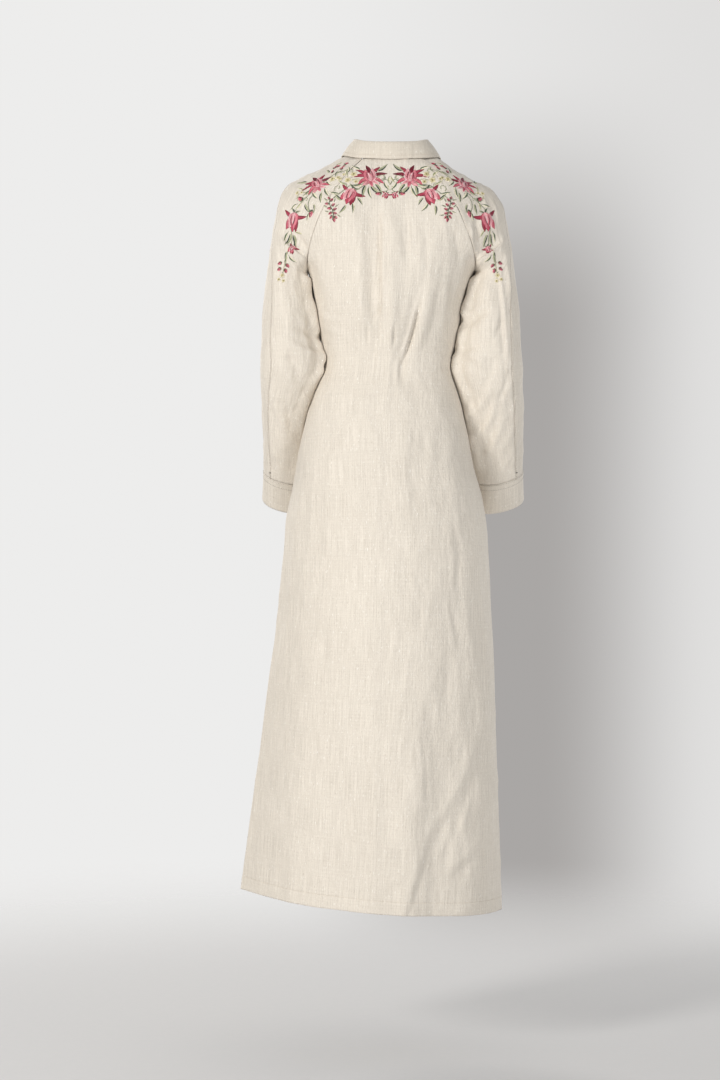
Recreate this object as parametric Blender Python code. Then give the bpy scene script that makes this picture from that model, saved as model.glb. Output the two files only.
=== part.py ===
"""A long linen kurta tunic, worn: raglan sleeves, shirt collar, straight cuffs and a flared skirt.

The frame: +Z up, the front faces -Y, the wearer's left is +X.
The origin is the nape, the middle of the back neck seam, where the garment hangs on the wearer.
Every cloth panel is a grid of points on the worn surface, given a wall towards its inside.
"""

import math

import bmesh
import bpy
import numpy as np
from mathutils import Matrix, Vector

# ---------------------------------------------------------------- driving sizes, in metres
CLOTH = 0.0015              # wall of a cloth panel
COLLAR_CLOTH = 0.0018       # the collar has two layers and an interlining
SEAM_GAP = 0.0003           # between two pieces that are sewn together
UNDERARM_Z = -0.200
HEM_TILT = 0.0175           # the hem is this much higher on the wearer's left side, lower on the right
SHOULDER_LEAN = 0.0055      # the left shoulder is up and the right one down by this
CUFF_DEEP = 0.057
PLACKET_WIDE = 0.030
PLACKET_END_Z = -0.415
PLACKET_BELOW_NECK = 0.003  # the strip starts this far under the collar's seam
ARM_SWING = 0.0045          # both forearms hang this much to the wearer's right
LEFT_ARM_FORWARD = 0.016    # the left forearm is this much further forward, clear of the hip
BUTTON_RADIUS = 0.0056
BUTTON_THICK = 0.0021
BUTTON_COUNT = 5
BUTTON_CLEAR = 0.0006       # the thread holds a button's back this far off the cloth
FIRST_BUTTON = 0.040        # from the top of the placket to the first button's middle
LAST_BUTTON = 0.050         # from the last button's middle to the placket's foot
STAND_LEAN = 0.001          # the stand's top edge leans in by this
STAND_START = 0.001         # places round the neck run from 0 at the middle of the front to 1
STAND_LAP = 0.025           # the stand's right end laps over the left one by this share
STAND_END = 0.8             # and is lower there by this share, where it is rounded off
LEAF_START = 0.008          # the leaf's ends stop this share short of the middle of the front
BUTTON_BEVEL = 0.9          # a button's outer face is this share of its width
BUTTON_SIDES = 20
LAP_REACH = 6               # the stand's last points, among which the collar button is placed

# Where each change of the stance comes in: the pair is where it begins and where it is full, as
# distances from the middle (OUT), depths below the nape (DOWN) or stations down the yoke (CAP).
SHOULDER_OUT = (0.05, 0.15)
SHOULDER_DOWN = (0.10, 0.22)
FOREARM_DOWN = (0.30, 0.50)
SWAY_DOWN = (0.46, 0.56)
HEM_DOWN = (0.70, 1.30)
CAP_ROUND = (0.45, 0.95)
LAP_PLACES = (0.88, 0.96)
FLARE_OUT = (0.0, 0.04)

YOKE_DOWN = 12
TORSO_DOWN = 23
BODY_ACROSS = 22
SLEEVE_BACK_ACROSS = 6
SLEEVE_FRONT_ACROSS = 10
SLEEVE_DOWN = 14
CUFF_AROUND = 24
COLLAR_ALONG = 36
DENSE = 61                  # points along a section before it is resampled
EVEN_SHARE = 0.5            # the torso's rows: 1 is evenly spaced, less is closer at the waist

NAPE = np.array([0.0, 0.055, 0.0])     # the tables below have y = 0 at the side seams
UP = np.array([0.0, 0.0, 1.0])

LINEN = ("linen", (0.80, 0.71, 0.60, 1.0), 0.9)
SHELL = ("button_shell", (0.86, 0.80, 0.70, 1.0), 0.35)

# ---------------------------------------------------------------- the yoke: neck to underarm
# One row for each section of one half; the other half mirrors it. Stations run down the raglan seams.
# cb, cf: middle of the back and of the front. bs, fs: back and front raglan seam. rg: shoulder ridge.
YOKE_COLUMNS = ("cb_y", "cb_z", "bs_x", "bs_y", "bs_z", "rg_x", "rg_y", "rg_z",
                "fs_x", "fs_y", "fs_z", "cf_y", "cf_z")
YOKE = (
    (0.055, 0.000, 0.046, 0.0385, 0.003, 0.064, -0.006, 0.010, 0.045, -0.0515, -0.032, -0.070, -0.062),
    (0.0605, -0.013, 0.0556, 0.050, -0.0092, 0.086, -0.004, 0.003, 0.054, -0.066, -0.043, -0.076, -0.070),
    (0.070, -0.034, 0.0735, 0.065, -0.0293, 0.110, -0.002, -0.0128, 0.070, -0.081, -0.0605, -0.086, -0.083),
    (0.0805, -0.057, 0.090, 0.0775, -0.053, 0.134, -0.001, -0.0252, 0.087, -0.091, -0.080, -0.095, -0.097),
    (0.092, -0.086, 0.108, 0.087, -0.082, 0.158, 0.000, -0.037, 0.103, -0.0965, -0.101, -0.103, -0.113),
    (0.1005, -0.113, 0.122, 0.091, -0.109, 0.179, 0.000, -0.050, 0.117, -0.098, -0.123, -0.1105, -0.131),
    (0.107, -0.142, 0.134, 0.087, -0.140, 0.1945, 0.000, -0.070, 0.130, -0.092, -0.147, -0.117, -0.150),
    (0.111, -0.168, 0.1425, 0.073, -0.167, 0.203, 0.000, -0.105, 0.140, -0.076, -0.170, -0.122, -0.170),
    (0.1125, -0.188, 0.146, 0.045, -0.189, 0.2125, -0.001, -0.157, 0.1455, -0.047, -0.189, -0.1245, -0.188),
    (0.112, -0.200, 0.146, 0.000, -0.200, 0.2185, -0.002, -0.200, 0.146, 0.000, -0.200, -0.125, -0.200),
)
# How the surface lies along the seams: outward normal of the back seam (the front one has its own),
# heading of the body's sections there in degrees (0 straight out, 90 to the front), and how far the
# seam has turned into the armpit's crease (0 smooth, 1 folded right round).
SEAM_COLUMNS = ("b_nx", "b_ny", "b_nz", "f_nx", "f_ny", "f_nz", "heading", "crease", "overarm")
SEAM = (
    (0.35, 0.60, 0.72, 0.35, -0.55, 0.75, 43, 0.00, 0.500),
    (0.30, 0.66, 0.69, 0.25, -0.68, 0.69, 34, 0.00, 0.500),
    (0.25, 0.75, 0.61, 0.20, -0.78, 0.60, 27, 0.00, 0.495),
    (0.24, 0.80, 0.55, 0.20, -0.84, 0.50, 23, 0.00, 0.485),
    (0.30, 0.84, 0.42, 0.25, -0.88, 0.38, 23, 0.00, 0.465),
    (0.38, 0.88, 0.25, 0.34, -0.90, 0.22, 27, 0.00, 0.435),
    (0.42, 0.90, 0.00, 0.40, -0.91, 0.00, 36, 0.05, 0.400),
    (0.35, 0.86, -0.35, 0.35, -0.86, -0.35, 52, 0.30, 0.370),
    (0.10, 0.60, -0.80, 0.10, -0.60, -0.80, 76, 0.75, 0.355),
    (0.00, 0.00, -1.00, 0.00, 0.00, -1.00, 90, 1.00, 0.345),
)

# ---------------------------------------------------------------- the body below the underarm
# sway moves the section's middle to the wearer's left. left and right are the angles, in degrees, at
# which the front and the back meet those side seams: 90 is round, less is a pressed edge. full is 1
# for a round section and more for a squarer one.
TORSO_COLUMNS = ("z", "half_width", "back", "front", "sway", "left", "right", "full")
TORSO = (
    (-0.2000, 0.1460, 0.112, 0.125, 0.0000, 90, 90, 1.20),
    (-0.2145, 0.1390, 0.112, 0.129, 0.0015, 90, 90, 1.20),
    (-0.2287, 0.1340, 0.112, 0.132, 0.0030, 90, 90, 1.19),
    (-0.2600, 0.1290, 0.108, 0.131, 0.0042, 90, 90, 1.17),
    (-0.2990, 0.1240, 0.099, 0.124, 0.0046, 90, 90, 1.14),
    (-0.3255, 0.1185, 0.092, 0.116, 0.0045, 90, 90, 1.11),
    (-0.3607, 0.1120, 0.086, 0.108, 0.0048, 90, 90, 1.07),
    (-0.3740, 0.1130, 0.087, 0.107, 0.0058, 90, 90, 1.05),
    (-0.3959, 0.1220, 0.092, 0.108, 0.0080, 90, 90, 1.04),
    (-0.4223, 0.1307, 0.100, 0.110, 0.0097, 90, 90, 1.03),
    (-0.4575, 0.1395, 0.110, 0.114, 0.0110, 89, 90, 1.02),
    (-0.4927, 0.1475, 0.119, 0.117, 0.0112, 88, 89, 1.01),
    (-0.5455, 0.1575, 0.131, 0.121, 0.0110, 86, 88, 1.00),
    (-0.5895, 0.1680, 0.138, 0.125, 0.0090, 84, 87, 1.00),
    (-0.6247, 0.1750, 0.141, 0.127, 0.0080, 82, 86, 1.00),
    (-0.7039, 0.1813, 0.146, 0.133, 0.0090, 78, 84, 1.00),
    (-0.8095, 0.1896, 0.152, 0.141, 0.0110, 72, 82, 1.00),
    (-0.9151, 0.1990, 0.156, 0.148, 0.0160, 67, 80, 1.00),
    (-1.0207, 0.2080, 0.160, 0.155, 0.0207, 62, 78, 1.00),
    (-1.1263, 0.2165, 0.164, 0.161, 0.0255, 58, 77, 1.00),
    (-1.2143, 0.2235, 0.168, 0.166, 0.0300, 56, 76, 1.00),
    (-1.3000, 0.2306, 0.172, 0.170, 0.0350, 55, 75, 1.00),
)

# ---------------------------------------------------------------- the sleeves below the underarm
# inner, outer: distances of the sleeve's two sides from the middle plane. y is the section's middle.
# lean tips a section's back edge down, roll lifts its outer side, both in degrees.
SLEEVE_COLUMNS = ("z", "inner", "outer", "y", "back", "front", "lean", "roll")
SLEEVE = (
    (-0.2000, 0.1460, 0.2185, -0.002, 0.0580, 0.0580, 0, 0),
    (-0.2150, 0.1435, 0.2205, 0.000, 0.0585, 0.0585, 0, 0),
    (-0.2460, 0.1355, 0.2240, 0.004, 0.0600, 0.0600, 1, 0),
    (-0.3167, 0.1262, 0.2277, 0.010, 0.0590, 0.0620, 2, 0),
    (-0.3640, 0.1172, 0.2305, 0.007, 0.0560, 0.0620, 7, 0),
    (-0.3959, 0.1290, 0.2315, -0.003, 0.0530, 0.0590, 13, 0),
    (-0.4300, 0.1390, 0.2318, -0.017, 0.0500, 0.0550, 19, 2),
    (-0.4800, 0.1450, 0.2315, -0.038, 0.0460, 0.0500, 24, 6),
    (-0.5200, 0.1470, 0.2315, -0.057, 0.0430, 0.0450, 26, 11),
    (-0.5510, 0.1480, 0.2320, -0.070, 0.0410, 0.0430, 26, 14),
)
CUFF_FLARE = 0.003          # the cuff's lower edge stands out by this at its outer side

# ---------------------------------------------------------------- the largest folds
# Each runs from one point to another as seen from behind (x, z), and stands out by high or, when it is
# negative, sinks in. half is its half width.
FOLD_COLUMNS = ("x0", "z0", "x1", "z1", "half", "high")
FOLD_IN, FOLD_OUT = (-0.25, 0.15), (0.65, 1.15)     # shares of its run over which a fold rises and fades
FOLD_AT_HEM_Z = -1.2        # a fold that starts below this keeps its full height at the hem
SEAM_COLUMNS_CLEAR = 3      # folds fade out over this many columns towards a panel's side edges
BACK_FOLDS = (
    (0.014, -0.10, 0.012, -0.34, 0.020, 0.0040),
    (0.045, -0.12, 0.040, -0.33, 0.020, -0.0035),
    (-0.048, -0.24, -0.014, -0.39, 0.016, -0.0045),
    (-0.078, -0.22, -0.040, -0.37, 0.022, 0.0030),
    (-0.018, -1.30, -0.048, -0.98, 0.026, 0.0130),
    (-0.072, -1.30, -0.085, -0.90, 0.030, -0.0085),
    (0.090, -1.30, 0.070, -0.85, 0.055, -0.0055),
    (-0.150, -1.28, -0.165, -0.75, 0.034, 0.0050),
    (0.170, -1.28, 0.140, -0.80, 0.045, 0.0050),
)
FRONT_FOLDS = (
    (0.090, -1.30, 0.060, -0.60, 0.045, 0.0070),
    (-0.085, -1.30, -0.060, -0.65, 0.045, 0.0070),
    (0.000, -1.30, 0.000, -0.55, 0.040, -0.0060),
    (0.160, -1.29, 0.120, -0.75, 0.040, -0.0050),
    (-0.150, -1.29, -0.120, -0.75, 0.040, -0.0050),
    (0.070, -0.20, 0.045, -0.37, 0.024, -0.0040),
    (-0.070, -0.20, -0.045, -0.37, 0.024, -0.0040),
)

# ---------------------------------------------------------------- the collar
# Sizes along half of the collar, from the middle of the back (0) to the middle of the front (1).
# stand: height of the stand. station: how far down the yoke's sections the leaf's lower edge lies.
# place: where along such a section it lies, so that the points spread away from the middle.
COLLAR_COLUMNS = ("at", "stand", "station", "place")
COLLAR = (
    (0.00, 0.0200, 0.080, 0.000),
    (0.20, 0.0204, 0.085, 0.200),
    (0.40, 0.0222, 0.100, 0.400),
    (0.52, 0.0230, 0.115, 0.520),
    (0.70, 0.0236, 0.150, 0.690),
    (0.85, 0.0240, 0.220, 0.810),
    (1.00, 0.0240, 0.300, 0.890),
)
# The leaf's section over the top of the stand: out from the stand's face, and up from its top edge.
LEAF_FOLD = ((-0.0014, 0.0023), (0.0002, 0.0030), (0.0026, 0.0025), (0.0042, 0.0004))
LEAF_CLEAR = 0.001          # between the leaf's lower edge and the body under it
LEAF_BOW = 0.0018           # the leaf curves out by this between its fold and its edge


# ================================================================ small geometry tools
def unit(v):
    v = np.asarray(v, float)
    return v / np.maximum(np.linalg.norm(v, axis=-1, keepdims=True), 1e-12)


def table(columns, rows):
    """The rows as one array for each named column."""
    return dict(zip(columns, np.array(rows, float).T))


def smooth(at, values, x):
    """A smooth curve through a column's values, read at x."""
    at, values, x = (np.asarray(v, float) for v in (at, values, x))
    if at[0] > at[-1]:
        at, values = at[::-1], values[::-1]
    steps = np.diff(at)
    slopes = np.diff(values) / steps
    inner = (slopes[:-1] * steps[1:] + slopes[1:] * steps[:-1]) / (steps[1:] + steps[:-1])
    tangents = np.concatenate([slopes[:1], inner, slopes[-1:]])
    i = np.clip(np.searchsorted(at, x, side="right") - 1, 0, len(steps) - 1)
    t = np.clip((x - at[i]) / steps[i], 0.0, 1.0)
    a, b = tangents[i] * steps[i], tangents[i + 1] * steps[i]
    return ((2 * t**3 - 3 * t**2 + 1) * values[i] + (t**3 - 2 * t**2 + t) * a
            + (3 * t**2 - 2 * t**3) * values[i + 1] + (t**3 - t**2) * b)


def ramp(x, low, high):
    """0 below low, 1 above high, smooth between."""
    t = np.clip((x - low) / (high - low), 0.0, 1.0)
    return t * t * (3 - 2 * t)


def round_reach(start, leaving, end, arriving):
    """How long the handles of a cubic are for a round arc of that turn."""
    turn = math.acos(max(-1.0, min(1.0, float(np.dot(unit(leaving), unit(arriving))))))
    turn = max(turn, 0.05)
    return 4 / 3 * math.tan(turn / 4) / (2 * math.sin(turn / 2)) * np.linalg.norm(end - start)


def cubic(start, leaving, end, arriving, reach_out, reach_in):
    """Points of a cubic from start to end, with handles of those lengths."""
    t = np.linspace(0, 1, DENSE)[:, None]
    p1, p2 = start + unit(leaving) * reach_out, end - unit(arriving) * reach_in
    return (1 - t)**3 * start + 3 * (1 - t)**2 * t * p1 + 3 * (1 - t) * t**2 * p2 + t**3 * end


def arc(start, leaving, end, arriving, full=1.0):
    """Points of a round arc, or of a squarer one where full is over 1."""
    reach = full * round_reach(start, leaving, end, arriving)
    return cubic(start, leaving, end, arriving, reach, reach)


def along(points):
    """Distance of each point from the first one, along the line."""
    return np.concatenate([[0.0], np.cumsum(np.linalg.norm(np.diff(points, axis=0), axis=1))])


def resample(points, distances):
    run = along(points)
    return np.stack([np.interp(distances, run, points[:, k]) for k in range(3)], axis=1)


def grid_normals(grid, outside, closed=False):
    """Unit normals of a grid of points, on the side that outside points to."""
    down = np.gradient(grid, axis=0)
    if closed:
        across = (np.roll(grid, -1, axis=1) - np.roll(grid, 1, axis=1)) / 2
    else:
        across = np.gradient(grid, axis=1)
    normals = unit(np.cross(across, down))
    return normals if (normals * outside).sum() > 0 else -normals


def fold_height(x, z, folds):
    """How far the folds move the cloth out at (x, z)."""
    total = np.zeros_like(x)
    for row in folds:
        f = dict(zip(FOLD_COLUMNS, row))
        run = np.array([f["x1"] - f["x0"], f["z1"] - f["z0"]])
        length = np.linalg.norm(run)
        share = ((x - f["x0"]) * run[0] + (z - f["z0"]) * run[1]) / length**2
        off = ((x - f["x0"]) * run[1] - (z - f["z0"]) * run[0]) / length
        rising = 1.0 if f["z0"] < FOLD_AT_HEM_Z else ramp(share, *FOLD_IN)
        ends = rising * (1 - ramp(share, *FOLD_OUT))
        total += f["high"] * np.exp(-(off / f["half"])**2) * ends
    return total


# ================================================================ the worn surface
yoke = {**table(YOKE_COLUMNS, YOKE), **table(SEAM_COLUMNS, SEAM)}
torso = table(TORSO_COLUMNS, TORSO)
sleeve = table(SLEEVE_COLUMNS, SLEEVE)
collar = table(COLLAR_COLUMNS, COLLAR)
STATIONS = np.linspace(0, 1, len(YOKE))
SEAM_V = np.linspace(0, 1, YOKE_DOWN)
UNDERARM_NORMAL = (0.0, 0.0, -1.0)
OVERARM_SHARE = SEAM[-1][-1]
TUBE_REACH = sleeve["back"][0] * 4 / 3      # handles that make a half ring of the sleeve's depth
LEAST_REACH = 0.012                         # so that a section still turns round at the underarm
NEARBY = 0.01                               # step along the surface when a direction is read from it
NECK_MIDDLE = np.array([0.0, -0.008, 0.0])


def at_station(name, v):
    return float(smooth(STATIONS, yoke[name], v))


def seam_point(which, v):
    return np.array([at_station(f"{which}_{axis}", v) for axis in "xyz"])


def seam_normal(which, v):
    """The seam's outward normal, square to the seam's own run."""
    run = unit(seam_point(which, min(v + NEARBY, 1)) - seam_point(which, max(v - NEARBY, 0)))
    letter = which[0]
    normal = np.array([at_station(f"{letter}_n{axis}", v) for axis in "xyz"])
    return unit(normal - np.dot(normal, run) * run)


def flatten(direction, normal, share=1.0):
    """The direction laid into the plane square to normal, fully or in part."""
    return unit(direction - share * np.dot(direction, normal) * normal)


def settle(points, side, arm=False):
    """The wearer's stance: a shoulder up, waist and skirt swayed, forearms moved, the hem tilted."""
    moved = np.array(points, float)
    x, z = np.abs(moved[..., 0]), moved[..., 2].copy()
    moved[..., 0] *= side
    high = ramp(x, *SHOULDER_OUT) * (1 - ramp(-z, *SHOULDER_DOWN))
    moved[..., 2] += side * SHOULDER_LEAN * high
    if arm:
        lower = ramp(-z, *FOREARM_DOWN)
        moved[..., 0] -= ARM_SWING * lower
        moved[..., 1] -= LEFT_ARM_FORWARD * lower * (side > 0)
    else:
        moved[..., 0] += smooth(torso["z"], torso["sway"], z)
        low = ramp(-z, *HEM_DOWN)
        moved[..., 2] += HEM_TILT * low * side * x / TORSO[-1][1]
    return moved


def seam_heading(v, y_sign):
    """The direction in which a body section meets the raglan seam, before it is laid on the surface."""
    heading = math.radians(at_station("heading", v))
    return np.array([math.cos(heading), -y_sign * math.sin(heading), 0.0])


def yoke_half_row(v, side, back):
    """Half of a body section above the underarm, from the middle to the raglan seam."""
    which, y_sign = ("bs", 1) if back else ("fs", -1)
    centre = "cb" if back else "cf"
    middle = np.array([0.0, at_station(centre + "_y", v), at_station(centre + "_z", v)])
    seam = seam_point(which, v)
    arriving = flatten(seam_heading(v, y_sign), seam_normal(which, v), 1 - at_station("crease", v))
    crease = at_station("crease", v)
    full = 1 + (TORSO[0][-1] - 1) * crease
    points = arc(middle, np.array([1.0, 0, 0]), seam, arriving, full)
    points[:, 0] -= SEAM_GAP * crease * np.linspace(0, 1, DENSE)
    return settle(points, side)


def torso_half_row(z, side, back):
    """Half of a body section below the underarm, from the middle to the side seam."""
    depth = float(smooth(torso["z"], torso["back" if back else "front"], z)) * (1 if back else -1)
    wide = float(smooth(torso["z"], torso["half_width"], z))
    angle = math.radians(float(smooth(torso["z"], torso["left" if side > 0 else "right"], z)))
    arriving = np.array([math.cos(angle), -math.copysign(math.sin(angle), depth), 0.0])
    full = float(smooth(torso["z"], torso["full"], z))
    points = arc(np.array([0, depth, z]), np.array([1.0, 0, 0]), np.array([wide, 0, z]), arriving, full)
    return settle(points, side)


def torso_heights():
    """Section heights below the underarm: close at the waist, wider apart down the skirt."""
    t = np.linspace(0, 1, TORSO_DOWN)[1:]
    return UNDERARM_Z + (TORSO[-1][0] - UNDERARM_Z) * (EVEN_SHARE * t + (1 - EVEN_SHARE) * t**2)


def body_grid(back):
    """Rows from the neck to the hem, columns from the wearer's right to their left."""
    rows = []
    for make, stations in ((yoke_half_row, SEAM_V), (torso_half_row, torso_heights())):
        for station in stations:
            halves = []
            for side in (-1, 1):
                dense = make(station, side, back)
                length = along(dense)[-1]
                if back:
                    steps = np.linspace(0, length, BODY_ACROSS // 2 + 1)
                else:
                    edge = PLACKET_WIDE / 2
                    steps = np.concatenate([[0.0], np.linspace(edge, length, BODY_ACROSS // 2)])
                halves.append(resample(dense, steps))
            rows.append(np.concatenate([halves[0][::-1], halves[1][1:]]))
    return np.array(rows)


def body_panel(back):
    """Points and outward normals of the front or of the back, with its largest folds."""
    grid = body_grid(back)
    outside = np.array([0.0, 1.0 if back else -1.0, 0.0])
    normals = grid_normals(grid, outside)
    folds = fold_height(grid[..., 0], grid[..., 2], BACK_FOLDS if back else FRONT_FOLDS)
    column = np.arange(grid.shape[1])
    inside_seams = ramp(np.minimum(column, column[::-1]), 0, SEAM_COLUMNS_CLEAR)
    grid = grid + normals * (folds * inside_seams)[..., None]
    normals = grid_normals(grid, outside)
    for column, side in ((0, -1), (-1, 1)):
        which = "bs" if back else "fs"
        for row, v in enumerate(SEAM_V[:-1]):
            normals[row, column] = seam_normal(which, v) * (side, 1, 1)
        normals[YOKE_DOWN - 1, column] = UNDERARM_NORMAL
        below = normals[YOKE_DOWN:, column]
        normals[YOKE_DOWN:, column] = unit(below * (1, 0, 1))
    return grid, normals


# ---------------------------------------------------------------- sleeves
def tube_frame(z):
    """Middle, outward and backward directions and half sizes of a sleeve section below the underarm."""
    get = {name: float(smooth(sleeve["z"], sleeve[name], z)) for name in SLEEVE_COLUMNS}
    lean, roll = math.radians(get["lean"]), math.radians(get["roll"])
    outward = np.array([math.cos(roll), 0.0, math.sin(roll)])
    backward = np.array([0.0, math.cos(lean), -math.sin(lean)])
    backward = unit(backward - np.dot(backward, outward) * outward)
    return get, outward, backward


def tube_row(z, side):
    """One closed sleeve section, from the underarm seam round the back and the front to it again."""
    get, outward, backward = tube_frame(z)
    sway = float(smooth(torso["z"], torso["sway"], z)) * side * (1 - ramp(-z, *SWAY_DOWN))
    inner = np.array([get["inner"] + sway, get["y"], z])
    inner[2] -= outward[2] * (get["outer"] - get["inner"]) / 2
    outer = np.array([get["outer"], get["y"], z])
    outer[2] += outward[2] * (get["outer"] - get["inner"]) / 2
    half = np.linalg.norm(outer - inner) / 2
    back = arc(inner, backward, outer, -backward, get["back"] / half)
    front = arc(outer, -backward, inner, backward, get["front"] / half)
    return settle(np.concatenate([back, front[1:]]), side, True)


def raglan_row(v, side):
    """One open sleeve section above the underarm, from the back raglan seam to the front one."""
    ridge, crease = seam_point("rg", v), at_station("crease", v)
    over = np.array([0.0, -1.0, 0.0])
    halves = []
    for which, y_sign in (("bs", 1), ("fs", -1)):
        seam, normal = seam_point(which, v), seam_normal(which, v)
        leaving = seam_heading(v, y_sign) * (1 - crease) + np.array([0.0, y_sign, 0.0]) * crease
        leaving = flatten(leaving, normal, 1 - crease)
        reach = round_reach(seam, leaving, ridge, over * y_sign)
        hollow = max(TUBE_REACH - abs(seam[1]), LEAST_REACH)
        reach_out = reach + (hollow - reach) * crease
        reach_in = reach + (TUBE_REACH - reach) * ramp(v, *CAP_ROUND)
        halves.append(cubic(seam, leaving, ridge, over * y_sign, reach_out, reach_in))
    points = np.concatenate([halves[0], halves[1][::-1][1:]])
    points[:, 0] += SEAM_GAP * crease
    return settle(points, side, True)


def sleeve_heights():
    return np.linspace(UNDERARM_Z, SLEEVE[-1][0], SLEEVE_DOWN)[1:]


def sleeve_panels(side):
    """The back and front halves of one sleeve: points and outward normals of each."""
    sections = [raglan_row(v, side) for v in SEAM_V] + [tube_row(z, side) for z in sleeve_heights()]
    split = [at_station("overarm", v) for v in SEAM_V] + [OVERARM_SHARE] * (SLEEVE_DOWN - 1)
    grids = {"back": [], "front": []}
    for dense, share in zip(sections, split):
        length = along(dense)[-1]
        cut = share * length
        grids["back"].append(resample(dense, np.linspace(0, cut, SLEEVE_BACK_ACROSS + 1)))
        grids["front"].append(resample(dense, np.linspace(cut, length, SLEEVE_FRONT_ACROSS + 1)))
    whole = np.array([np.concatenate([b, f[1:]]) for b, f in zip(grids["back"], grids["front"])])
    normals = grid_normals(whole, np.array([side, 0.0, 0.3]))
    for row, v in enumerate(SEAM_V[:-1]):
        normals[row, 0] = seam_normal("bs", v) * (side, 1, 1)
        normals[row, -1] = seam_normal("fs", v) * (side, 1, 1)
    normals[YOKE_DOWN - 1, (0, -1)] = UNDERARM_NORMAL
    for row in range(YOKE_DOWN, len(whole)):
        shared = unit(normals[row, 0] + normals[row, -1])
        normals[row, 0] = normals[row, -1] = shared
    cut = SLEEVE_BACK_ACROSS
    return {"back": (whole[:, :cut + 1], normals[:, :cut + 1]),
            "front": (whole[:, cut:], normals[:, cut:])}


# ---------------------------------------------------------------- cuffs
def cuff_rings(side, columns=CUFF_AROUND, rows=3):
    """Closed rings of one cuff, top to bottom, carried on along the sleeve's own run."""
    top = tube_row(SLEEVE[-1][0], side)
    length = along(top)[-1]
    ring = resample(top, np.linspace(0, length, columns + 1)[:-1])
    _, outward, backward = tube_frame(SLEEVE[-1][0])
    down = unit(np.cross(outward, backward)) * (side, 1, 1)
    down = down if down[2] < 0 else -down
    down = unit(down * (0, 1, 1))
    centre = ring.mean(axis=0)
    rings = []
    for t in np.linspace(0, 1, rows):
        outer_side = ramp((ring[:, 0] - centre[0]) * side, *FLARE_OUT)
        flare = np.outer(outer_side, (side, 0, 0)) * CUFF_FLARE * t
        rings.append(ring + down * (SEAM_GAP + CUFF_DEEP * t) + flare)
    return np.array(rings)


# ---------------------------------------------------------------- collar
def yoke_ring(v):
    """A section all round the yoke, from the middle of the front over the left side and the back."""
    halves = []
    for side in (1, -1):
        back, front = yoke_half_row(v, side, True), yoke_half_row(v, side, False)
        halves.append(np.concatenate([front, raglan_row(v, side)[::-1][1:], back[::-1][1:]]))
    return np.concatenate([halves[0], halves[1][::-1][1:]])


def ring_points(v, places):
    """Points of a yoke section at places, each quarter of it counting alike: 0 and 1 are its front."""
    line = yoke_ring(v)
    index = (np.asarray(places) % 1) * (len(line) - 1)
    return np.stack([np.interp(index, np.arange(len(line)), line[:, k]) for k in range(3)], axis=1)


def outward_and_up(line):
    """Level directions away from the neck, and directions square to them and to the line."""
    run = unit(np.gradient(line, axis=0))
    outward = unit(np.stack([-run[:, 1], run[:, 0], np.zeros(len(line))], axis=1))
    outward *= np.sign(((line - NECK_MIDDLE) * outward).sum(axis=1))[:, None]
    rise = np.cross(run, outward)
    return outward, unit(rise * np.sign(rise[:, 2])[:, None])


def stand_rows(start, end, columns=COLLAR_ALONG):
    """The stand's foot and top edge from one place on the neck seam to another, and those places."""
    places = np.linspace(start, end, columns + 1)
    seam = ring_points(0.0, places)
    outward, rise = outward_and_up(seam)
    rise = unit(rise + UP)
    over = outward * lap(places)[:, None]
    foot = seam + over + rise * SEAM_GAP * 2
    top = foot + rise * of_collar("stand", places)[:, None] - outward * STAND_LEAN
    return foot, top, places


def lap(places):
    """How far the right end of the collar stands out, to lie over the left one."""
    return (COLLAR_CLOTH + SEAM_GAP) * ramp(places, *LAP_PLACES)


def of_collar(name, places):
    return smooth(collar["at"], collar[name], np.minimum(np.abs(places * 2 - 1), 1))


# ================================================================ solids
def material(spec):
    name, colour, roughness = spec
    found = bpy.data.materials.get(name)
    if found:
        return found
    made = bpy.data.materials.new(name)
    made.use_nodes = True
    shader = made.node_tree.nodes["Principled BSDF"]
    shader.inputs["Base Color"].default_value = colour
    shader.inputs["Roughness"].default_value = roughness
    shader.inputs["Metallic"].default_value = 0.0
    return made


def add_object(name, points, faces, spec):
    """A named object, moved so that the nape is the origin."""
    mesh = bpy.data.meshes.new(name)
    mesh.from_pydata([tuple(p) for p in points - NAPE], [], faces)
    mesh.materials.append(material(spec))
    mesh.update()
    tidy = bmesh.new()
    tidy.from_mesh(mesh)
    bmesh.ops.recalc_face_normals(tidy, faces=tidy.faces)
    tidy.to_mesh(mesh)
    tidy.free()
    mesh.shade_smooth()
    mesh.set_sharp_from_angle(angle=math.radians(50))
    made = bpy.data.objects.new(name, mesh)
    bpy.context.scene.collection.objects.link(made)
    return made


def drawn_in(grid, gap=SEAM_GAP / 2):
    """The grid with its four edges drawn back from their seams by gap."""
    out = grid.copy()
    out[:, 0] += unit(grid[:, 1] - grid[:, 0]) * gap
    out[:, -1] += unit(grid[:, -2] - grid[:, -1]) * gap
    out[0] += unit(grid[1] - grid[0]) * gap
    out[-1] += unit(grid[-2] - grid[-1]) * gap
    return out


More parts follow.
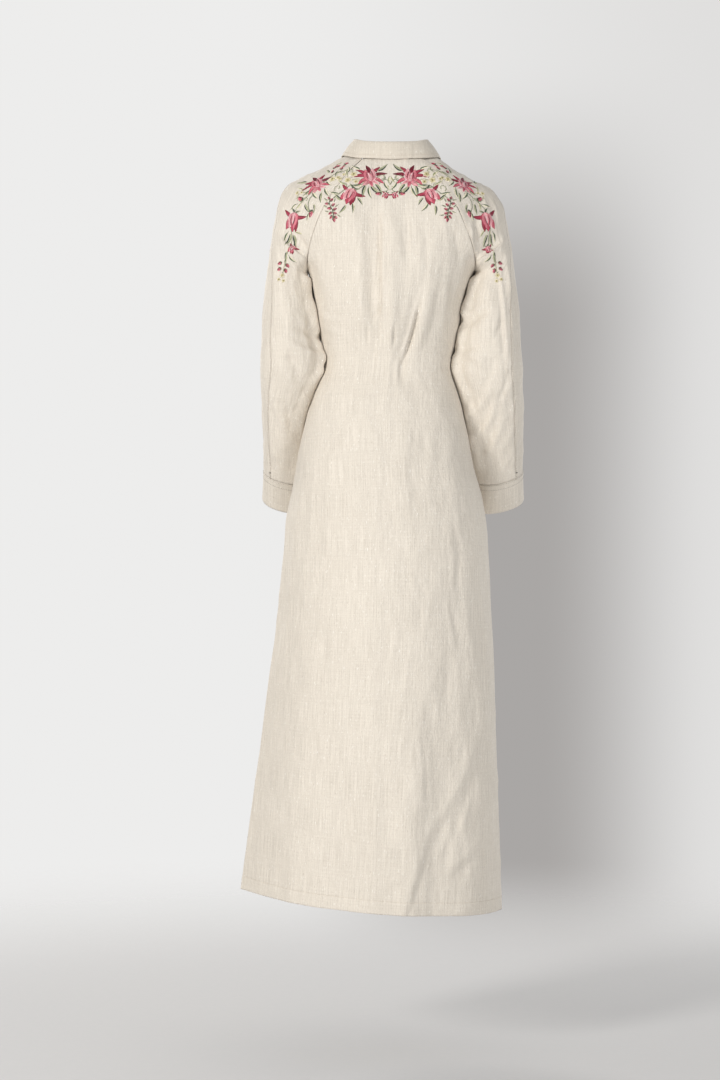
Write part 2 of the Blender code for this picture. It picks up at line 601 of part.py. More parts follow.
def cloth_panel(name, grid, normals, wall=CLOTH, spec=LINEN):
    """A sheet with a wall: the grid outside, the same grid moved in, and a rim."""
    rows, columns = grid.shape[:2]
    count = rows * columns
    outer = drawn_in(grid)
    points = np.concatenate([outer.reshape(-1, 3), (outer - normals * wall).reshape(-1, 3)])
    faces = []
    for r in range(rows - 1):
        for c in range(columns - 1):
            a, e = r * columns + c, (r + 1) * columns + c
            b, d = a + 1, e + 1
            faces.append((a, b, d, e))
            faces.append((a + count, e + count, d + count, b + count))
    rim = [(0, c) for c in range(columns)] + [(r, columns - 1) for r in range(1, rows)]
    rim += [(rows - 1, c) for c in range(columns - 2, -1, -1)] + [(r, 0) for r in range(rows - 2, 0, -1)]
    for (r0, c0), (r1, c1) in zip(rim, rim[1:] + rim[:1]):
        a, b = r0 * columns + c0, r1 * columns + c1
        faces.append((b, a, a + count, b + count))
    return add_object(name, points, faces, spec)


def cloth_ring(name, rings, wall=CLOTH, spec=LINEN):
    """A closed band with a wall: rings outside, the same rings moved in, open at both ends."""
    outward = grid_normals(rings, rings - rings.mean(axis=(0, 1)), closed=True)
    rows, columns = rings.shape[:2]
    count = rows * columns
    points = np.concatenate([rings.reshape(-1, 3), (rings - outward * wall).reshape(-1, 3)])
    faces = []
    for r in range(rows - 1):
        for c in range(columns):
            n = (c + 1) % columns
            a, b, d, e = (row * columns + col for row, col in ((r, c), (r, n), (r + 1, n), (r + 1, c)))
            faces.append((a, b, d, e))
            faces.append((a + count, e + count, d + count, b + count))
    for r in (0, rows - 1):
        for c in range(columns):
            a, b = r * columns + c, r * columns + (c + 1) % columns
            faces.append((a, b, b + count, a + count))
    return add_object(name, points, faces, spec)


def make_stand():
    """The collar stand: a band up from the neck seam, its right end lapped over the left one."""
    foot, top, places = stand_rows(STAND_START, 1 + STAND_LAP)
    top[-1] = foot[-1] + (top[-1] - foot[-1]) * STAND_END
    grid = np.array([foot, (foot + top) / 2, top])
    cloth_panel("collar_stand", grid, np.array([outward_and_up(row)[0] for row in grid]), COLLAR_CLOTH)
    return grid


def leaf_edge(places):
    """Points on the body under the leaf's lower edge, moved out to clear it."""
    stations = of_collar("station", places)
    places = 0.5 + np.sign(places - 0.5) * of_collar("place", places) / 2
    edge = []
    for v, place in zip(stations, places):
        around = place + np.array([-NEARBY, 0, NEARBY])
        near, far = (ring_points(v + dv, around) for dv in (-NEARBY, NEARBY))
        middle = (near[1] + far[1]) / 2
        normal = unit(np.cross(near[2] - near[0], far[1] - near[1]))
        normal *= np.sign(np.dot(normal, middle - NECK_MIDDLE + UP * SHOULDER_OUT[1]))
        edge.append(middle + normal * (COLLAR_CLOTH + LEAF_CLEAR))
    return np.array(edge)


def make_leaf():
    """The leaf: over the stand's top edge, then down and out until it lies on the body."""
    _, top, places = stand_rows(LEAF_START, 1 - LEAF_START)
    outward, rise = outward_and_up(top)
    top = top + outward * (lap(1 - places) * (places < 0.5))[:, None]
    rows = [top + outward * out + rise * up for out, up in LEAF_FOLD]
    start, edge = rows[-1], leaf_edge(places)
    for t in (0.25, 0.5, 0.75, 1.0):
        rows.append(start + (edge - start) * t + outward * LEAF_BOW * math.sin(math.pi * t))
    grid = np.array(rows)
    normals = grid_normals(grid, grid - NECK_MIDDLE)
    cloth_panel("collar_leaf", grid, normals, COLLAR_CLOTH)


def make_placket(front, normals):
    """The button strip, made from the front's own points at its middle, moved out."""
    middle = front.shape[1] // 2
    rows = [r for r in range(front.shape[0]) if front[r, middle, 2] > PLACKET_END_Z]
    part = (slice(rows[0], rows[-1] + 1), slice(middle - 1, middle + 2))
    grid, out = front[part].copy(), normals[part]
    grid[0] += unit(grid[1] - grid[0]) * PLACKET_BELOW_NECK
    grid += out * (CLOTH + SEAM_GAP)
    cloth_panel("placket", grid, out)
    return grid[:, 1]


def make_button(name, centre, normal):
    """A flat round button with a slight bevel, its back just off the cloth."""
    disc = bmesh.new()
    bmesh.ops.create_cone(disc, cap_ends=True, segments=BUTTON_SIDES, radius1=BUTTON_RADIUS,
                          radius2=BUTTON_RADIUS * BUTTON_BEVEL, depth=BUTTON_THICK)
    turned = Vector((0, 0, 1)).rotation_difference(Vector(normal)).to_matrix().to_4x4()
    place = Vector(centre + normal * (BUTTON_THICK / 2 + BUTTON_CLEAR))
    bmesh.ops.transform(disc, matrix=Matrix.Translation(place) @ turned, verts=disc.verts)
    points = np.array([v.co[:] for v in disc.verts])
    faces = [tuple(v.index for v in face.verts) for face in disc.faces]
    disc.free()
    add_object(name, points, faces, SHELL)


def make_buttons(line, stand):
    """One button on the stand and the others down the placket."""
    run = along(line)
    for i, distance in enumerate(np.linspace(FIRST_BUTTON, run[-1] - LAST_BUTTON, BUTTON_COUNT)):
        ends = resample(line, [distance - BUTTON_RADIUS, distance + BUTTON_RADIUS])
        normal = unit(np.cross(ends[1] - ends[0], (1.0, 0.0, 0.0)))
        make_button(f"button_{i + 1}", ends.mean(axis=0), normal * -np.sign(normal[1]))
    middle = np.abs(stand[1, -LAP_REACH:, 0]).argmin() - LAP_REACH
    make_button("button_collar", stand[1, middle], np.array([0.0, -1.0, 0.0]))


def main():
    for old in list(bpy.data.objects):
        bpy.data.objects.remove(old)
    cloth_panel("back", *body_panel(back=True))
    front, front_normals = body_panel(back=False)
    cloth_panel("front", front, front_normals)
    for label, side in (("left", 1), ("right", -1)):
        for part, (grid, normals) in sleeve_panels(side).items():
            cloth_panel(f"sleeve_{part}_{label}", grid, normals)
        cloth_ring(f"cuff_{label}", cuff_rings(side))
    stand = make_stand()
    make_leaf()
    line = make_placket(front, front_normals)
    make_buttons(line, stand)


main()
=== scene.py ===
import math

import bmesh
import bpy
import numpy as np
from mathutils import Matrix, Vector, noise
from mathutils.bvhtree import BVHTree


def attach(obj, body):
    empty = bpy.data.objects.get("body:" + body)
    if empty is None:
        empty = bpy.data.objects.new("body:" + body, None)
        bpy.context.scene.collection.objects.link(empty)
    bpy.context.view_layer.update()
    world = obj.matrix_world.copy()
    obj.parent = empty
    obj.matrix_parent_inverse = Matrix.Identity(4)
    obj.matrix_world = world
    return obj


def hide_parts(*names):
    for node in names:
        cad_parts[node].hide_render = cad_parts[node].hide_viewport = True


# A long linen kurta tunic, worn, with an embroidered garland over the back yoke and down both sleeves.
# The frame: +Z up, the front faces -Y, the wearer's left is +X, and the nape is the origin.
# First come the sizes, then the cloth's surface, its creases, the sewn pieces, the sewing, the
# embroidery, the finishes and the studio.

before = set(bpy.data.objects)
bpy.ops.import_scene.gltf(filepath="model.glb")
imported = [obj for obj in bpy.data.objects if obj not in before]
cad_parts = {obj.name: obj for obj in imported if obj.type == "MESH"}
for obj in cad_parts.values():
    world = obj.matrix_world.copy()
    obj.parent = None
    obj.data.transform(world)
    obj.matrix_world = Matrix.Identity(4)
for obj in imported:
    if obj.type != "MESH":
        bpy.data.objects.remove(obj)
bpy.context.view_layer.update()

# -------- driving sizes, in metres
MM = 0.001  # the tables of creases and of the embroidery are in millimetres
CLOTH = 0.0015  # wall of a cloth panel
COLLAR_CLOTH = 0.0018  # the collar has two layers and an interlining
SEAM_GAP = 0.0003
UNDERARM_Z = -0.200
HEM_TILT = 0.0175  # the hem is this much higher on the wearer's left side, lower on the right
SHOULDER_LEAN = 0.0055  # the left shoulder is up and the right one down by this
CUFF_DEEP = 0.057
PLACKET_WIDE = 0.030
PLACKET_END_Z = -0.415
PLACKET_BELOW_NECK = 0.003  # the strip starts this far under the collar's seam
ARM_SWING = 0.0045  # both forearms hang this much to the wearer's right
LEFT_ARM_FORWARD = 0.016  # the left forearm is this much further forward, clear of the hip
BUTTON_RADIUS = 0.0056
BUTTON_THICK = 0.0021
STAND_LEAN = 0.001  # the stand's top edge leans in by this
STAND_START = 0.001  # places round the neck run from 0 at the middle of the front to 1
STAND_LAP = 0.025  # the stand's right end laps over the left one by this share
STAND_END = 0.8  # and is lower there by this share, where it is rounded off
LEAF_START = 0.008  # the leaf's ends stop this share short of the middle of the front

# Where each change of the stance comes in: the pair is where it begins and where it is full, as
# distances from the middle (OUT), depths below the nape (DOWN) or stations down the yoke (CAP).
SHOULDER_OUT = (0.05, 0.15)
SHOULDER_DOWN = (0.10, 0.22)
FOREARM_DOWN = (0.30, 0.50)
SWAY_DOWN = (0.46, 0.56)
HEM_DOWN = (0.70, 1.30)
CAP_ROUND = (0.45, 0.95)
LAP_PLACES = (0.88, 0.96)
FLARE_OUT = (0.0, 0.04)

# How finely each surface is drawn
YOKE_DOWN = 90  # rows from the neck to the underarm
SKIRT_STEP = 0.0055  # between rows below it
BODY_ACROSS = 66  # columns on each half of a body panel, apart from those at its edges
SLEEVE_BACK_ACROSS = 52
SLEEVE_FRONT_ACROSS = 56
SLEEVE_STEP = 0.0033
CUFF_AROUND = 96
COLLAR_ALONG = 180
DENSE = 161  # points along a section before it is resampled
LEAST_TURN = 0.05  # an arc counts as turning by at least this, in radians
LEAST_LENGTH = 1e-12  # so that nothing is divided by 0
EDGE_STEPS = (0.0, 0.0010, 0.0022, 0.0042, 0.0065)  # columns this far in from a sewn edge
# Rows this far above the hem
HEM_STEPS = (0.0270, 0.0245, 0.0232, 0.0222, 0.0212, 0.0200, 0.0170, 0.0110, 0.0060, 0.0025, 0.0)

NAPE = np.array([0.0, 0.055, 0.0])  # the tables below have y = 0 at the side seams
UP = np.array([0.0, 0.0, 1.0])
X_AXIS, Y_AXIS = np.array([1.0, 0.0, 0.0]), np.array([0.0, 1.0, 0.0])
SIDES = (("left", 1), ("right", -1))

# -------- the yoke: neck to underarm
# One row for each section of one half; the other half mirrors it. Stations run down the raglan seams.
# cb, cf: middle of the back and of the front. bs, fs: back and front raglan seam. rg: shoulder ridge.
YOKE_COLUMNS = ("cb_y", "cb_z", "bs_x", "bs_y", "bs_z", "rg_x", "rg_y", "rg_z",
                "fs_x", "fs_y", "fs_z", "cf_y", "cf_z")
YOKE = (
    (0.055, 0.000, 0.046, 0.0385, 0.003, 0.064, -0.006, 0.010, 0.045, -0.0515, -0.032, -0.070, -0.062),
    (0.0605, -0.013, 0.0556, 0.050, -0.0092, 0.086, -0.004, 0.003, 0.054, -0.066, -0.043, -0.076, -0.070),
    (0.070, -0.034, 0.0735, 0.065, -0.0293, 0.110, -0.002, -0.0128, 0.070, -0.081, -0.0605, -0.086, -0.083),
    (0.0805, -0.057, 0.090, 0.0775, -0.053, 0.134, -0.001, -0.0252, 0.087, -0.091, -0.080, -0.095, -0.097),
    (0.092, -0.086, 0.108, 0.087, -0.082, 0.158, 0.000, -0.037, 0.103, -0.0965, -0.101, -0.103, -0.113),
    (0.1005, -0.113, 0.122, 0.091, -0.109, 0.179, 0.000, -0.050, 0.117, -0.098, -0.123, -0.1105, -0.131),
    (0.107, -0.142, 0.134, 0.087, -0.140, 0.1945, 0.000, -0.070, 0.130, -0.092, -0.147, -0.117, -0.150),
    (0.111, -0.168, 0.1425, 0.073, -0.167, 0.203, 0.000, -0.105, 0.140, -0.076, -0.170, -0.122, -0.170),
    (0.1125, -0.188, 0.146, 0.045, -0.189, 0.2125, -0.001, -0.157, 0.1455, -0.047, -0.189, -0.1245, -0.188),
    (0.112, -0.200, 0.146, 0.000, -0.200, 0.2185, -0.002, -0.200, 0.146, 0.000, -0.200, -0.125, -0.200),
)
# How the surface lies along the seams: outward normal of the back seam (the front one has its own),
# heading of the body's sections there in degrees (0 straight out, 90 to the front), and how far the
# seam has turned into the armpit's crease (0 smooth, 1 folded right round).
SEAM_COLUMNS = ("b_nx", "b_ny", "b_nz", "f_nx", "f_ny", "f_nz", "heading", "crease", "overarm")
SEAM = (
    (0.35, 0.60, 0.72, 0.35, -0.55, 0.75, 43, 0.00, 0.500),
    (0.30, 0.66, 0.69, 0.25, -0.68, 0.69, 34, 0.00, 0.500),
    (0.25, 0.75, 0.61, 0.20, -0.78, 0.60, 27, 0.00, 0.495),
    (0.24, 0.80, 0.55, 0.20, -0.84, 0.50, 23, 0.00, 0.485),
    (0.30, 0.84, 0.42, 0.25, -0.88, 0.38, 23, 0.00, 0.465),
    (0.38, 0.88, 0.25, 0.34, -0.90, 0.22, 27, 0.00, 0.435),
    (0.42, 0.90, 0.00, 0.40, -0.91, 0.00, 36, 0.05, 0.400),
    (0.35, 0.86, -0.35, 0.35, -0.86, -0.35, 52, 0.30, 0.370),
    (0.10, 0.60, -0.80, 0.10, -0.60, -0.80, 76, 0.75, 0.355),
    (0.00, 0.00, -1.00, 0.00, 0.00, -1.00, 90, 1.00, 0.345),
)

# -------- the body below the underarm
# sway moves the section's middle to the wearer's left. left and right are the angles, in degrees, at
# which the front and the back meet those side seams: 90 is round, less is a pressed edge. full is 1
# for a round section and more for a squarer one.
TORSO_COLUMNS = ("z", "half_width", "back", "front", "sway", "left", "right", "full")
TORSO = (
    (-0.2000, 0.1460, 0.112, 0.125, 0.0000, 90, 90, 1.20),
    (-0.2145, 0.1390, 0.112, 0.129, 0.0015, 90, 90, 1.20),
    (-0.2287, 0.1340, 0.112, 0.132, 0.0030, 90, 90, 1.19),
    (-0.2600, 0.1290, 0.108, 0.131, 0.0042, 90, 90, 1.17),
    (-0.2990, 0.1240, 0.099, 0.124, 0.0046, 90, 90, 1.14),
    (-0.3255, 0.1185, 0.092, 0.116, 0.0045, 90, 90, 1.11),
    (-0.3607, 0.1120, 0.086, 0.108, 0.0048, 90, 90, 1.07),
    (-0.3740, 0.1130, 0.087, 0.107, 0.0058, 90, 90, 1.05),
    (-0.3959, 0.1220, 0.092, 0.108, 0.0080, 90, 90, 1.04),
    (-0.4223, 0.1307, 0.100, 0.110, 0.0097, 90, 90, 1.03),
    (-0.4575, 0.1395, 0.110, 0.114, 0.0110, 89, 90, 1.02),
    (-0.4927, 0.1475, 0.119, 0.117, 0.0112, 88, 89, 1.01),
    (-0.5455, 0.1575, 0.131, 0.121, 0.0110, 86, 88, 1.00),
    (-0.5895, 0.1680, 0.138, 0.125, 0.0090, 84, 87, 1.00),
    (-0.6247, 0.1750, 0.141, 0.127, 0.0080, 82, 86, 1.00),
    (-0.7039, 0.1813, 0.146, 0.133, 0.0090, 78, 84, 1.00),
    (-0.8095, 0.1896, 0.152, 0.141, 0.0110, 72, 82, 1.00),
    (-0.9151, 0.1990, 0.156, 0.148, 0.0160, 67, 80, 1.00),
    (-1.0207, 0.2080, 0.160, 0.155, 0.0207, 62, 78, 1.00),
    (-1.1263, 0.2165, 0.164, 0.161, 0.0255, 58, 77, 1.00),
    (-1.2143, 0.2235, 0.168, 0.166, 0.0300, 56, 76, 1.00),
    (-1.3000, 0.2306, 0.172, 0.170, 0.0350, 55, 75, 1.00),
)

# -------- the sleeves below the underarm
# inner, outer: distances of the sleeve's two sides from the middle plane. y is the section's middle.
# lean tips a section's back edge down, roll lifts its outer side, both in degrees.
SLEEVE_COLUMNS = ("z", "inner", "outer", "y", "back", "front", "lean", "roll")
SLEEVE = (
    (-0.2000, 0.1460, 0.2185, -0.002, 0.0580, 0.0580, 0, 0),
    (-0.2150, 0.1435, 0.2205, 0.000, 0.0585, 0.0585, 0, 0),
    (-0.2460, 0.1355, 0.2240, 0.004, 0.0600, 0.0600, 1, 0),
    (-0.3167, 0.1262, 0.2277, 0.010, 0.0590, 0.0620, 2, 0),
    (-0.3640, 0.1172, 0.2305, 0.007, 0.0560, 0.0620, 7, 0),
    (-0.3959, 0.1290, 0.2315, -0.003, 0.0530, 0.0590, 13, 0),
    (-0.4300, 0.1390, 0.2318, -0.017, 0.0500, 0.0550, 19, 2),
    (-0.4800, 0.1450, 0.2315, -0.038, 0.0460, 0.0500, 24, 6),
    (-0.5200, 0.1470, 0.2315, -0.057, 0.0430, 0.0450, 26, 11),
    (-0.5510, 0.1480, 0.2320, -0.070, 0.0410, 0.0430, 26, 14),
)
CUFF_FLARE = 0.003  # the cuff's lower edge stands out by this at its outer side

# -------- the largest folds
# Each runs from one point to another as seen from behind (x, z), and stands out by high or, when it is
# negative, sinks in. half is its half width.
FOLD_COLUMNS = ("x0", "z0", "x1", "z1", "half", "high")
FOLD_IN, FOLD_OUT = (-0.25, 0.15), (0.65, 1.15)  # shares of its run over which a fold rises and fades
FOLD_AT_HEM_Z = -1.2  # a fold that starts below this keeps its full height at the hem
BACK_FOLDS = (
    (0.002, -0.10, 0.000, -0.34, 0.017, 0.0036),
    (0.027, -0.12, 0.027, -0.33, 0.018, -0.0040),
    (-0.048, -0.24, -0.014, -0.39, 0.016, -0.0045),
    (-0.078, -0.22, -0.040, -0.37, 0.022, 0.0030),
    (-0.018, -1.30, -0.048, -0.98, 0.032, 0.0080),
    (-0.072, -1.30, -0.085, -0.90, 0.034, -0.0050),
    (0.090, -1.30, 0.070, -0.85, 0.055, -0.0055),
    (-0.150, -1.28, -0.165, -0.75, 0.034, 0.0050),
    (0.170, -1.28, 0.140, -0.80, 0.045, 0.0050),
)
FRONT_FOLDS = (
    (0.090, -1.30, 0.060, -0.60, 0.045, 0.0070),
    (-0.085, -1.30, -0.060, -0.65, 0.045, 0.0070),
    (0.000, -1.30, 0.000, -0.55, 0.040, -0.0060),
    (0.160, -1.29, 0.120, -0.75, 0.040, -0.0050),
    (-0.150, -1.29, -0.120, -0.75, 0.040, -0.0050),
    (0.070, -0.20, 0.045, -0.37, 0.024, -0.0040),
    (-0.070, -0.20, -0.045, -0.37, 0.024, -0.0040),
)

# -------- the collar
# Sizes along half of the collar, from the middle of the back (0) to the middle of the front (1).
# stand: height of the stand. station: how far down the yoke's sections the leaf's lower edge lies.
# place: where along such a section it lies, so that the points spread away from the middle.
COLLAR_COLUMNS = ("at", "stand", "station", "place")
COLLAR = (
    (0.00, 0.0200, 0.080, 0.000),
    (0.20, 0.0204, 0.085, 0.200),
    (0.40, 0.0222, 0.100, 0.400),
    (0.52, 0.0230, 0.115, 0.520),
    (0.70, 0.0236, 0.150, 0.690),
    (0.85, 0.0240, 0.220, 0.810),
    (1.00, 0.0240, 0.300, 0.890),
)
# The leaf's section over the top of the stand: out from the stand's face, and up from its top edge.
LEAF_FOLD = ((-0.0014, 0.0023), (0.0002, 0.0030), (0.0026, 0.0025), (0.0042, 0.0004))
LEAF_CLEAR = 0.001  # between the leaf's lower edge and the body under it
LEAF_BOW = 0.0018  # the leaf curves out by this between its fold and its edge

# -------- the creases of the worn cloth
# By part (the body, or the sleeve of that side) and by the side that they are seen from. Each runs from
# its upper end (a0, z0) to its lower one (a1, z1), in millimetres; a is x, or y for the left and right
# sides. bow bends its middle towards +a. half is its half width and high its height, negative for a
# trough. beside is the depth of the trough that goes with a ridge, on its +a side, or on its -a side
# where it is negative.
CREASE_COLUMNS = ("a0", "z0", "a1", "z1", "bow", "half", "high", "beside")
CREASES = {
    ("body", "back"): (
        # the middle of the back: a long gentle slope down into a sharp valley, as far as the waist
        (21, -84, 21, -350, 1, 3.0, -5.4, 0), (31, -150, 31, -345, 1, 8, -3.4, 0),
        (49, -105, 51, -335, 2, 8, 2.6, 0), (13, -95, 12, -330, 1, 3.8, 2.0, 0),
        (3, -230, 0, -370, -2, 8, 1.4, -1.4), (30, -298, 13, -266, 1, 2.6, 2.8, -2.6),
        (42, -296, 39, -334, 1, 2.4, -3.4, 0), (0, -294, 2, -342, 0, 2.4, 2.0, -3.4),
        (20, -318, 25, -372, 1, 4, 1.5, 1.4), (-12, -105, -16, -215, 1, 8, 1.8, -2.4),
        # the sharp crease that drags to the right side of the waist, and its neighbours
        (-46, -250, -12, -370, -2, 2.5, 3.6, -7.4), (-33, -230, -6, -350, -2, 8, 1.8, 0),
        (-64, -215, -40, -360, -3, 10, 2.0, -2.2), (-22, -345, -16, -420, 1, 5, -2.0, 0),
        (-50, -120, -48, -240, 2, 7, 1.6, -1.4),
        (60, -150, 54, -300, 3, 11, 1.5, 0), (-88, -150, -72, -290, -4, 11, -2.0, 0),
        (-96, -200, -84, -330, -3, 6, 1.6, -1.6), (-12, -345, -8, -400, 1, 4, 1.2, -1.4),
        (44, -340, 48, -420, 1, 6, -1.4, 0), (4, -350, 6, -430, 1, 5, 1.2, -1.2),
        # short dragged wrinkles from the side seams above the waist
        (128, -276, 72, -292, 3, 3.6, 1.2, -1.2), (128, -294, 66, -318, 2, 3.6, 1.4, -1.5),
        (126, -312, 76, -332, 2, 3.2, 1.3, -1.4), (124, -330, 70, -344, 1, 3.6, 1.2, -1.4),
        (-110, -336, -76, -326, -2, 3.4, 1.2, 1.2), (-110, -354, -70, -352, -1, 3.6, 1.2, 1.3),
        (-112, -372, -82, -380, 1, 3.4, 1.0, 1.0),
        # from under the arms towards the shoulder blades
        (98, -120, 122, -200, 6, 8, -1.6, 0), (-98, -120, -118, -200, -6, 8, -1.6, 0),
        (86, -115, 100, -210, 4, 6, 0.9, 0), (-86, -110, -98, -190, -4, 5, 1, 0),
        # the hips and the upper skirt
        (40, -400, 50, -560, 6, 13, 1.4, 0), (-52, -410, -50, -600, -4, 12, -1.6, 0),
        (10, -450, 4, -700, 4, 14, -1.5, 0), (90, -470, 110, -760, 6, 14, 2.0, 0),
        (-100, -480, -110, -700, -4, 12, 1.9, -1.0), (-128, -560, -134, -640, 2, 4, 1.4, -1.4),
        (-112, -600, -124, -690, 2, 5, 1.4, 1.4), (-120, -690, -112, -760, 2, 4, -1.4, 0),
        (-96, -780, -110, -860, 2, 5, 1.2, -1.2), (-26, -440, -30, -640, 3, 7, 1.1, -1.1),
        # the lower skirt: the folds that rise from the hem, the long diagonals and the short pressed ones
        (-62, -1165, -16, -1310, -2, 5, 1.2, -1.8), (-44, -1180, -34, -1310, 1, 7, 1.2, 0),
        (-156, -960, -24, -1204, -24, 11, 2.4, -1.9), (-182, -1160, -68, -1250, -4, 9, 1.8, -1.7),
        (-124, -1010, -121, -1050, 0, 2.4, -1.8, 0), (-46, -970, -56, -1140, 1, 3.2, 1.0, -1.2),
        (-140, -1100, -114, -1176, 1, 4, 1.6, 1.4), (-159, -1200, -160, -1240, 0, 2.4, -2.0, 0),
        (-150, -900, -160, -1010, -2, 7, 1.8, 1.8), (-108, -1120, -70, -1230, -3, 6, 1.4, -1.2),
        (-30, -1215, 20, -1262, -3, 7, 0.9, -0.9), (20, -1080, 34, -1300, 4, 18, 2.2, 0),
        (70, -1050, 88, -1300, 4, 16, -2, 0), (116, -1060, 136, -1300, 4, 16, 2.2, 0),
        (12, -760, 18, -1020, -4, 13, -1.2, 0), (70, -700, 90, -1000, 5, 18, 1.4, 0),
        (-40, -680, -46, -960, 4, 12, 1.4, 0), (-90, -720, -94, -980, -4, 13, -1.4, 0),
        (40, -1030, 70, -1062, 0, 5, 0.6, -0.6),
    ),
    ("body", "front"): (
        # the front, on the same pattern: drag lines to the bust and the waist, soft folds in the skirt
        (108, -150, 70, -215, 4, 7, 1.4, -1.2), (-108, -150, -74, -210, -4, 7, 1.4, 1.2),
        (112, -185, 80, -230, 2, 5, 1, -0.9), (-116, -180, -78, -236, -2, 5, 1.1, 1),
        (112, -320, 60, -340, 2, 5, 1.2, 1.2), (110, -346, 66, -352, 1, 4.5, 1.1, 1.2),
        (112, -372, 72, -362, -1, 4.5, 0.9, 1), (-104, -330, -58, -346, -2, 5, 1.2, 1.2),
        (-104, -358, -62, -356, 0, 4.5, 1.1, 1.1), (-108, -384, -70, -372, 2, 4.5, 0.9, 0.9),
        (46, -230, 34, -400, 3, 8, -1.6, 0), (-46, -225, -32, -390, -3, 8, -1.6, 0),
        (24, -425, 40, -620, 3, 10, 1.8, 1.4), (-22, -425, -40, -600, -3, 10, 1.8, -1.4),
        (4, -430, 2, -640, 2, 9, -1.4, 0), (60, -700, 76, -1300, 4, 14, 2.6, 2.4),
        (-60, -740, -82, -1300, -4, 14, 2.6, -2.4), (130, -820, 150, -1300, 3, 13, -2.4, 0),
        (-124, -760, -150, -1300, -3, 13, -2.2, 0), (18, -880, 26, -1300, 3, 13, 2, 0),
        (96, -520, 112, -760, 3, 14, 1.4, 0), (-94, -540, -110, -740, -3, 14, 1.4, 0),
    ),
    ("body", "left"): (
        # both sides of the body: wrinkles at the waist and long soft folds below
        (10, -330, -70, -336, 2, 5, 1.2, -1.2), (10, -356, -90, -352, 1, 5, 1.2, -1.2),
        (-100, -600, -110, -1300, 6, 18, 3, 0), (-50, -800, -46, -1300, 4, 14, -2.6, 0),
    ),
    ("body", "right"): (
        (12, -340, -80, -344, 2, 5, 1.2, -1.2), (10, -366, -86, -360, 1, 5, 1.1, -1.2),
        (-104, -560, -116, -1300, 6, 18, 3, 0), (-20, -760, -12, -1300, 4, 15, -2.4, 0),
    ),
    ("left", "back"): (
        # left sleeve, back: armpit folds, the soft bend at the elbow, the forearm
        (172, -136, 147, -176, 3, 4, 2.6, -4.2), (156, -155, 134, -240, 3, 7, 1.8, -2.2),
        (150, -200, 133, -320, 4, 8, -1.6, 0), (180, -235, 172, -335, 4, 11, 1.4, 0),
        (205, -150, 216, -330, 3, 11, -1.6, 0), (96, -330, 172, -300, 3, 7.5, -5.2, 0),
        (190, -322, 108, -350, 4, 7, 3.2, -2.6), (186, -345, 142, -372, 3, 6, -2, 0),
        (198, -345, 158, -410, 4, 9, 2.2, -1.6), (210, -390, 180, -500, 5, 10, 1.6, -1.4),
        (182, -420, 166, -520, 3, 9, -1.5, 0), (222, -330, 216, -480, 3, 10, 1.4, 0),
    ),
    ("right", "back"): (
        # right sleeve, back: the deep fold at the armpit, the bend, long diagonals in the forearm
        (-144, -100, -150, -172, -2, 6, -3.4, 0), (-136, -110, -140, -190, -2, 4.8, 2, -1.6),
        (-150, -172, -138, -190, 1, 5, -2, 0), (-186, -120, -208, -270, -5, 7.5, 2, -1.8),
        (-160, -185, -150, -300, -4, 9, 1.4, 0), (-176, -250, -142, -312, -4, 10, 1.6, 1.4),
        (-94, -312, -172, -254, -3, 6, 2.8, 4.4), (-94, -352, -160, -330, -3, 7, -3.4, 0),
        (-118, -338, -170, -372, -3, 7.5, 2, 1.8),
        (-190, -320, -152, -420, -5, 9, -1.8, 0), (-188, -420, -146, -500, -5, 6.5, 1.9, 1.9),
        (-180, -395, -136, -460, -4, 8, 1.5, 1.2), (-200, -445, -164, -535, -4, 7, 1.5, 1.5),
        (-208, -300, -200, -440, -3, 10, 1.2, 0),
        (-188, -190, -203, -400, -2, 3.6, 1.6, 1.8), (-198, -170, -212, -330, -2, 3.4, 1.4, -1.6),
        (-198, -270, -172, -330, -3, 6, -2.2, 0), (-206, -360, -182, -440, -4, 6, -2.2, 0),
    ),
    ("left", "left"): (
        # both sleeves, outer side and front
        (-10, -150, -20, -330, 6, 11, -1.8, 0), (-50, -330, -10, -365, -3, 7, 1.8, 1.6),
        (-70, -360, -28, -400, -3, 8, 1.8, 1.6), (-30, -400, -80, -520, 4, 10, 1.4, 1.2),
    ),
    ("right", "right"): (
        (-12, -150, -26, -320, 6, 11, -1.8, 0), (-52, -320, -12, -352, -3, 7, 1.8, 1.6),
        (-74, -350, -30, -392, -3, 8, 1.8, 1.6), (-36, -410, -86, -520, 4, 10, 1.4, 1.2),
    ),
    ("left", "front"): (
        (150, -190, 176, -150, 2, 6, 1.8, 1.8), (146, -215, 184, -180, 3, 7, -1.8, 0),
        (150, -330, 214, -305, -3, 6, 2, 2), (140, -352, 216, -345, -3, 6, 2.2, 2.4),
        (148, -376, 218, -388, 2, 6, 2, 2), (170, -410, 190, -520, 3, 8, 1.4, 1.4),
    ),
    ("right", "front"): (
        (-150, -190, -176, -150, -2, 6, 1.8, -1.8), (-148, -215, -186, -185, -3, 7, -1.8, 0),
        (-146, -328, -212, -300, -3, 6, 2, -2), (-138, -350, -216, -340, -3, 6, 2.2, -2.4),
        (-146, -374, -218, -384, 2, 6, 2, -2), (-172, -410, -192, -520, -3, 8, 1.4, -1.4),
    ),
}
CREASE_RISE, CREASE_FADE = (-0.04, 0.36), (0.62, 1.04)  # shares of a crease over which it rises and fades
CREASE_CREST = 1.5  # 2 is a round crest, 1 a sharp one
TROUGH_OFF, TROUGH_WIDER = 1.75, 1.15  # a trough lies this many half widths off its ridge
FACING = (0.10, 0.45)  # a crease is drawn only where the cloth faces that side
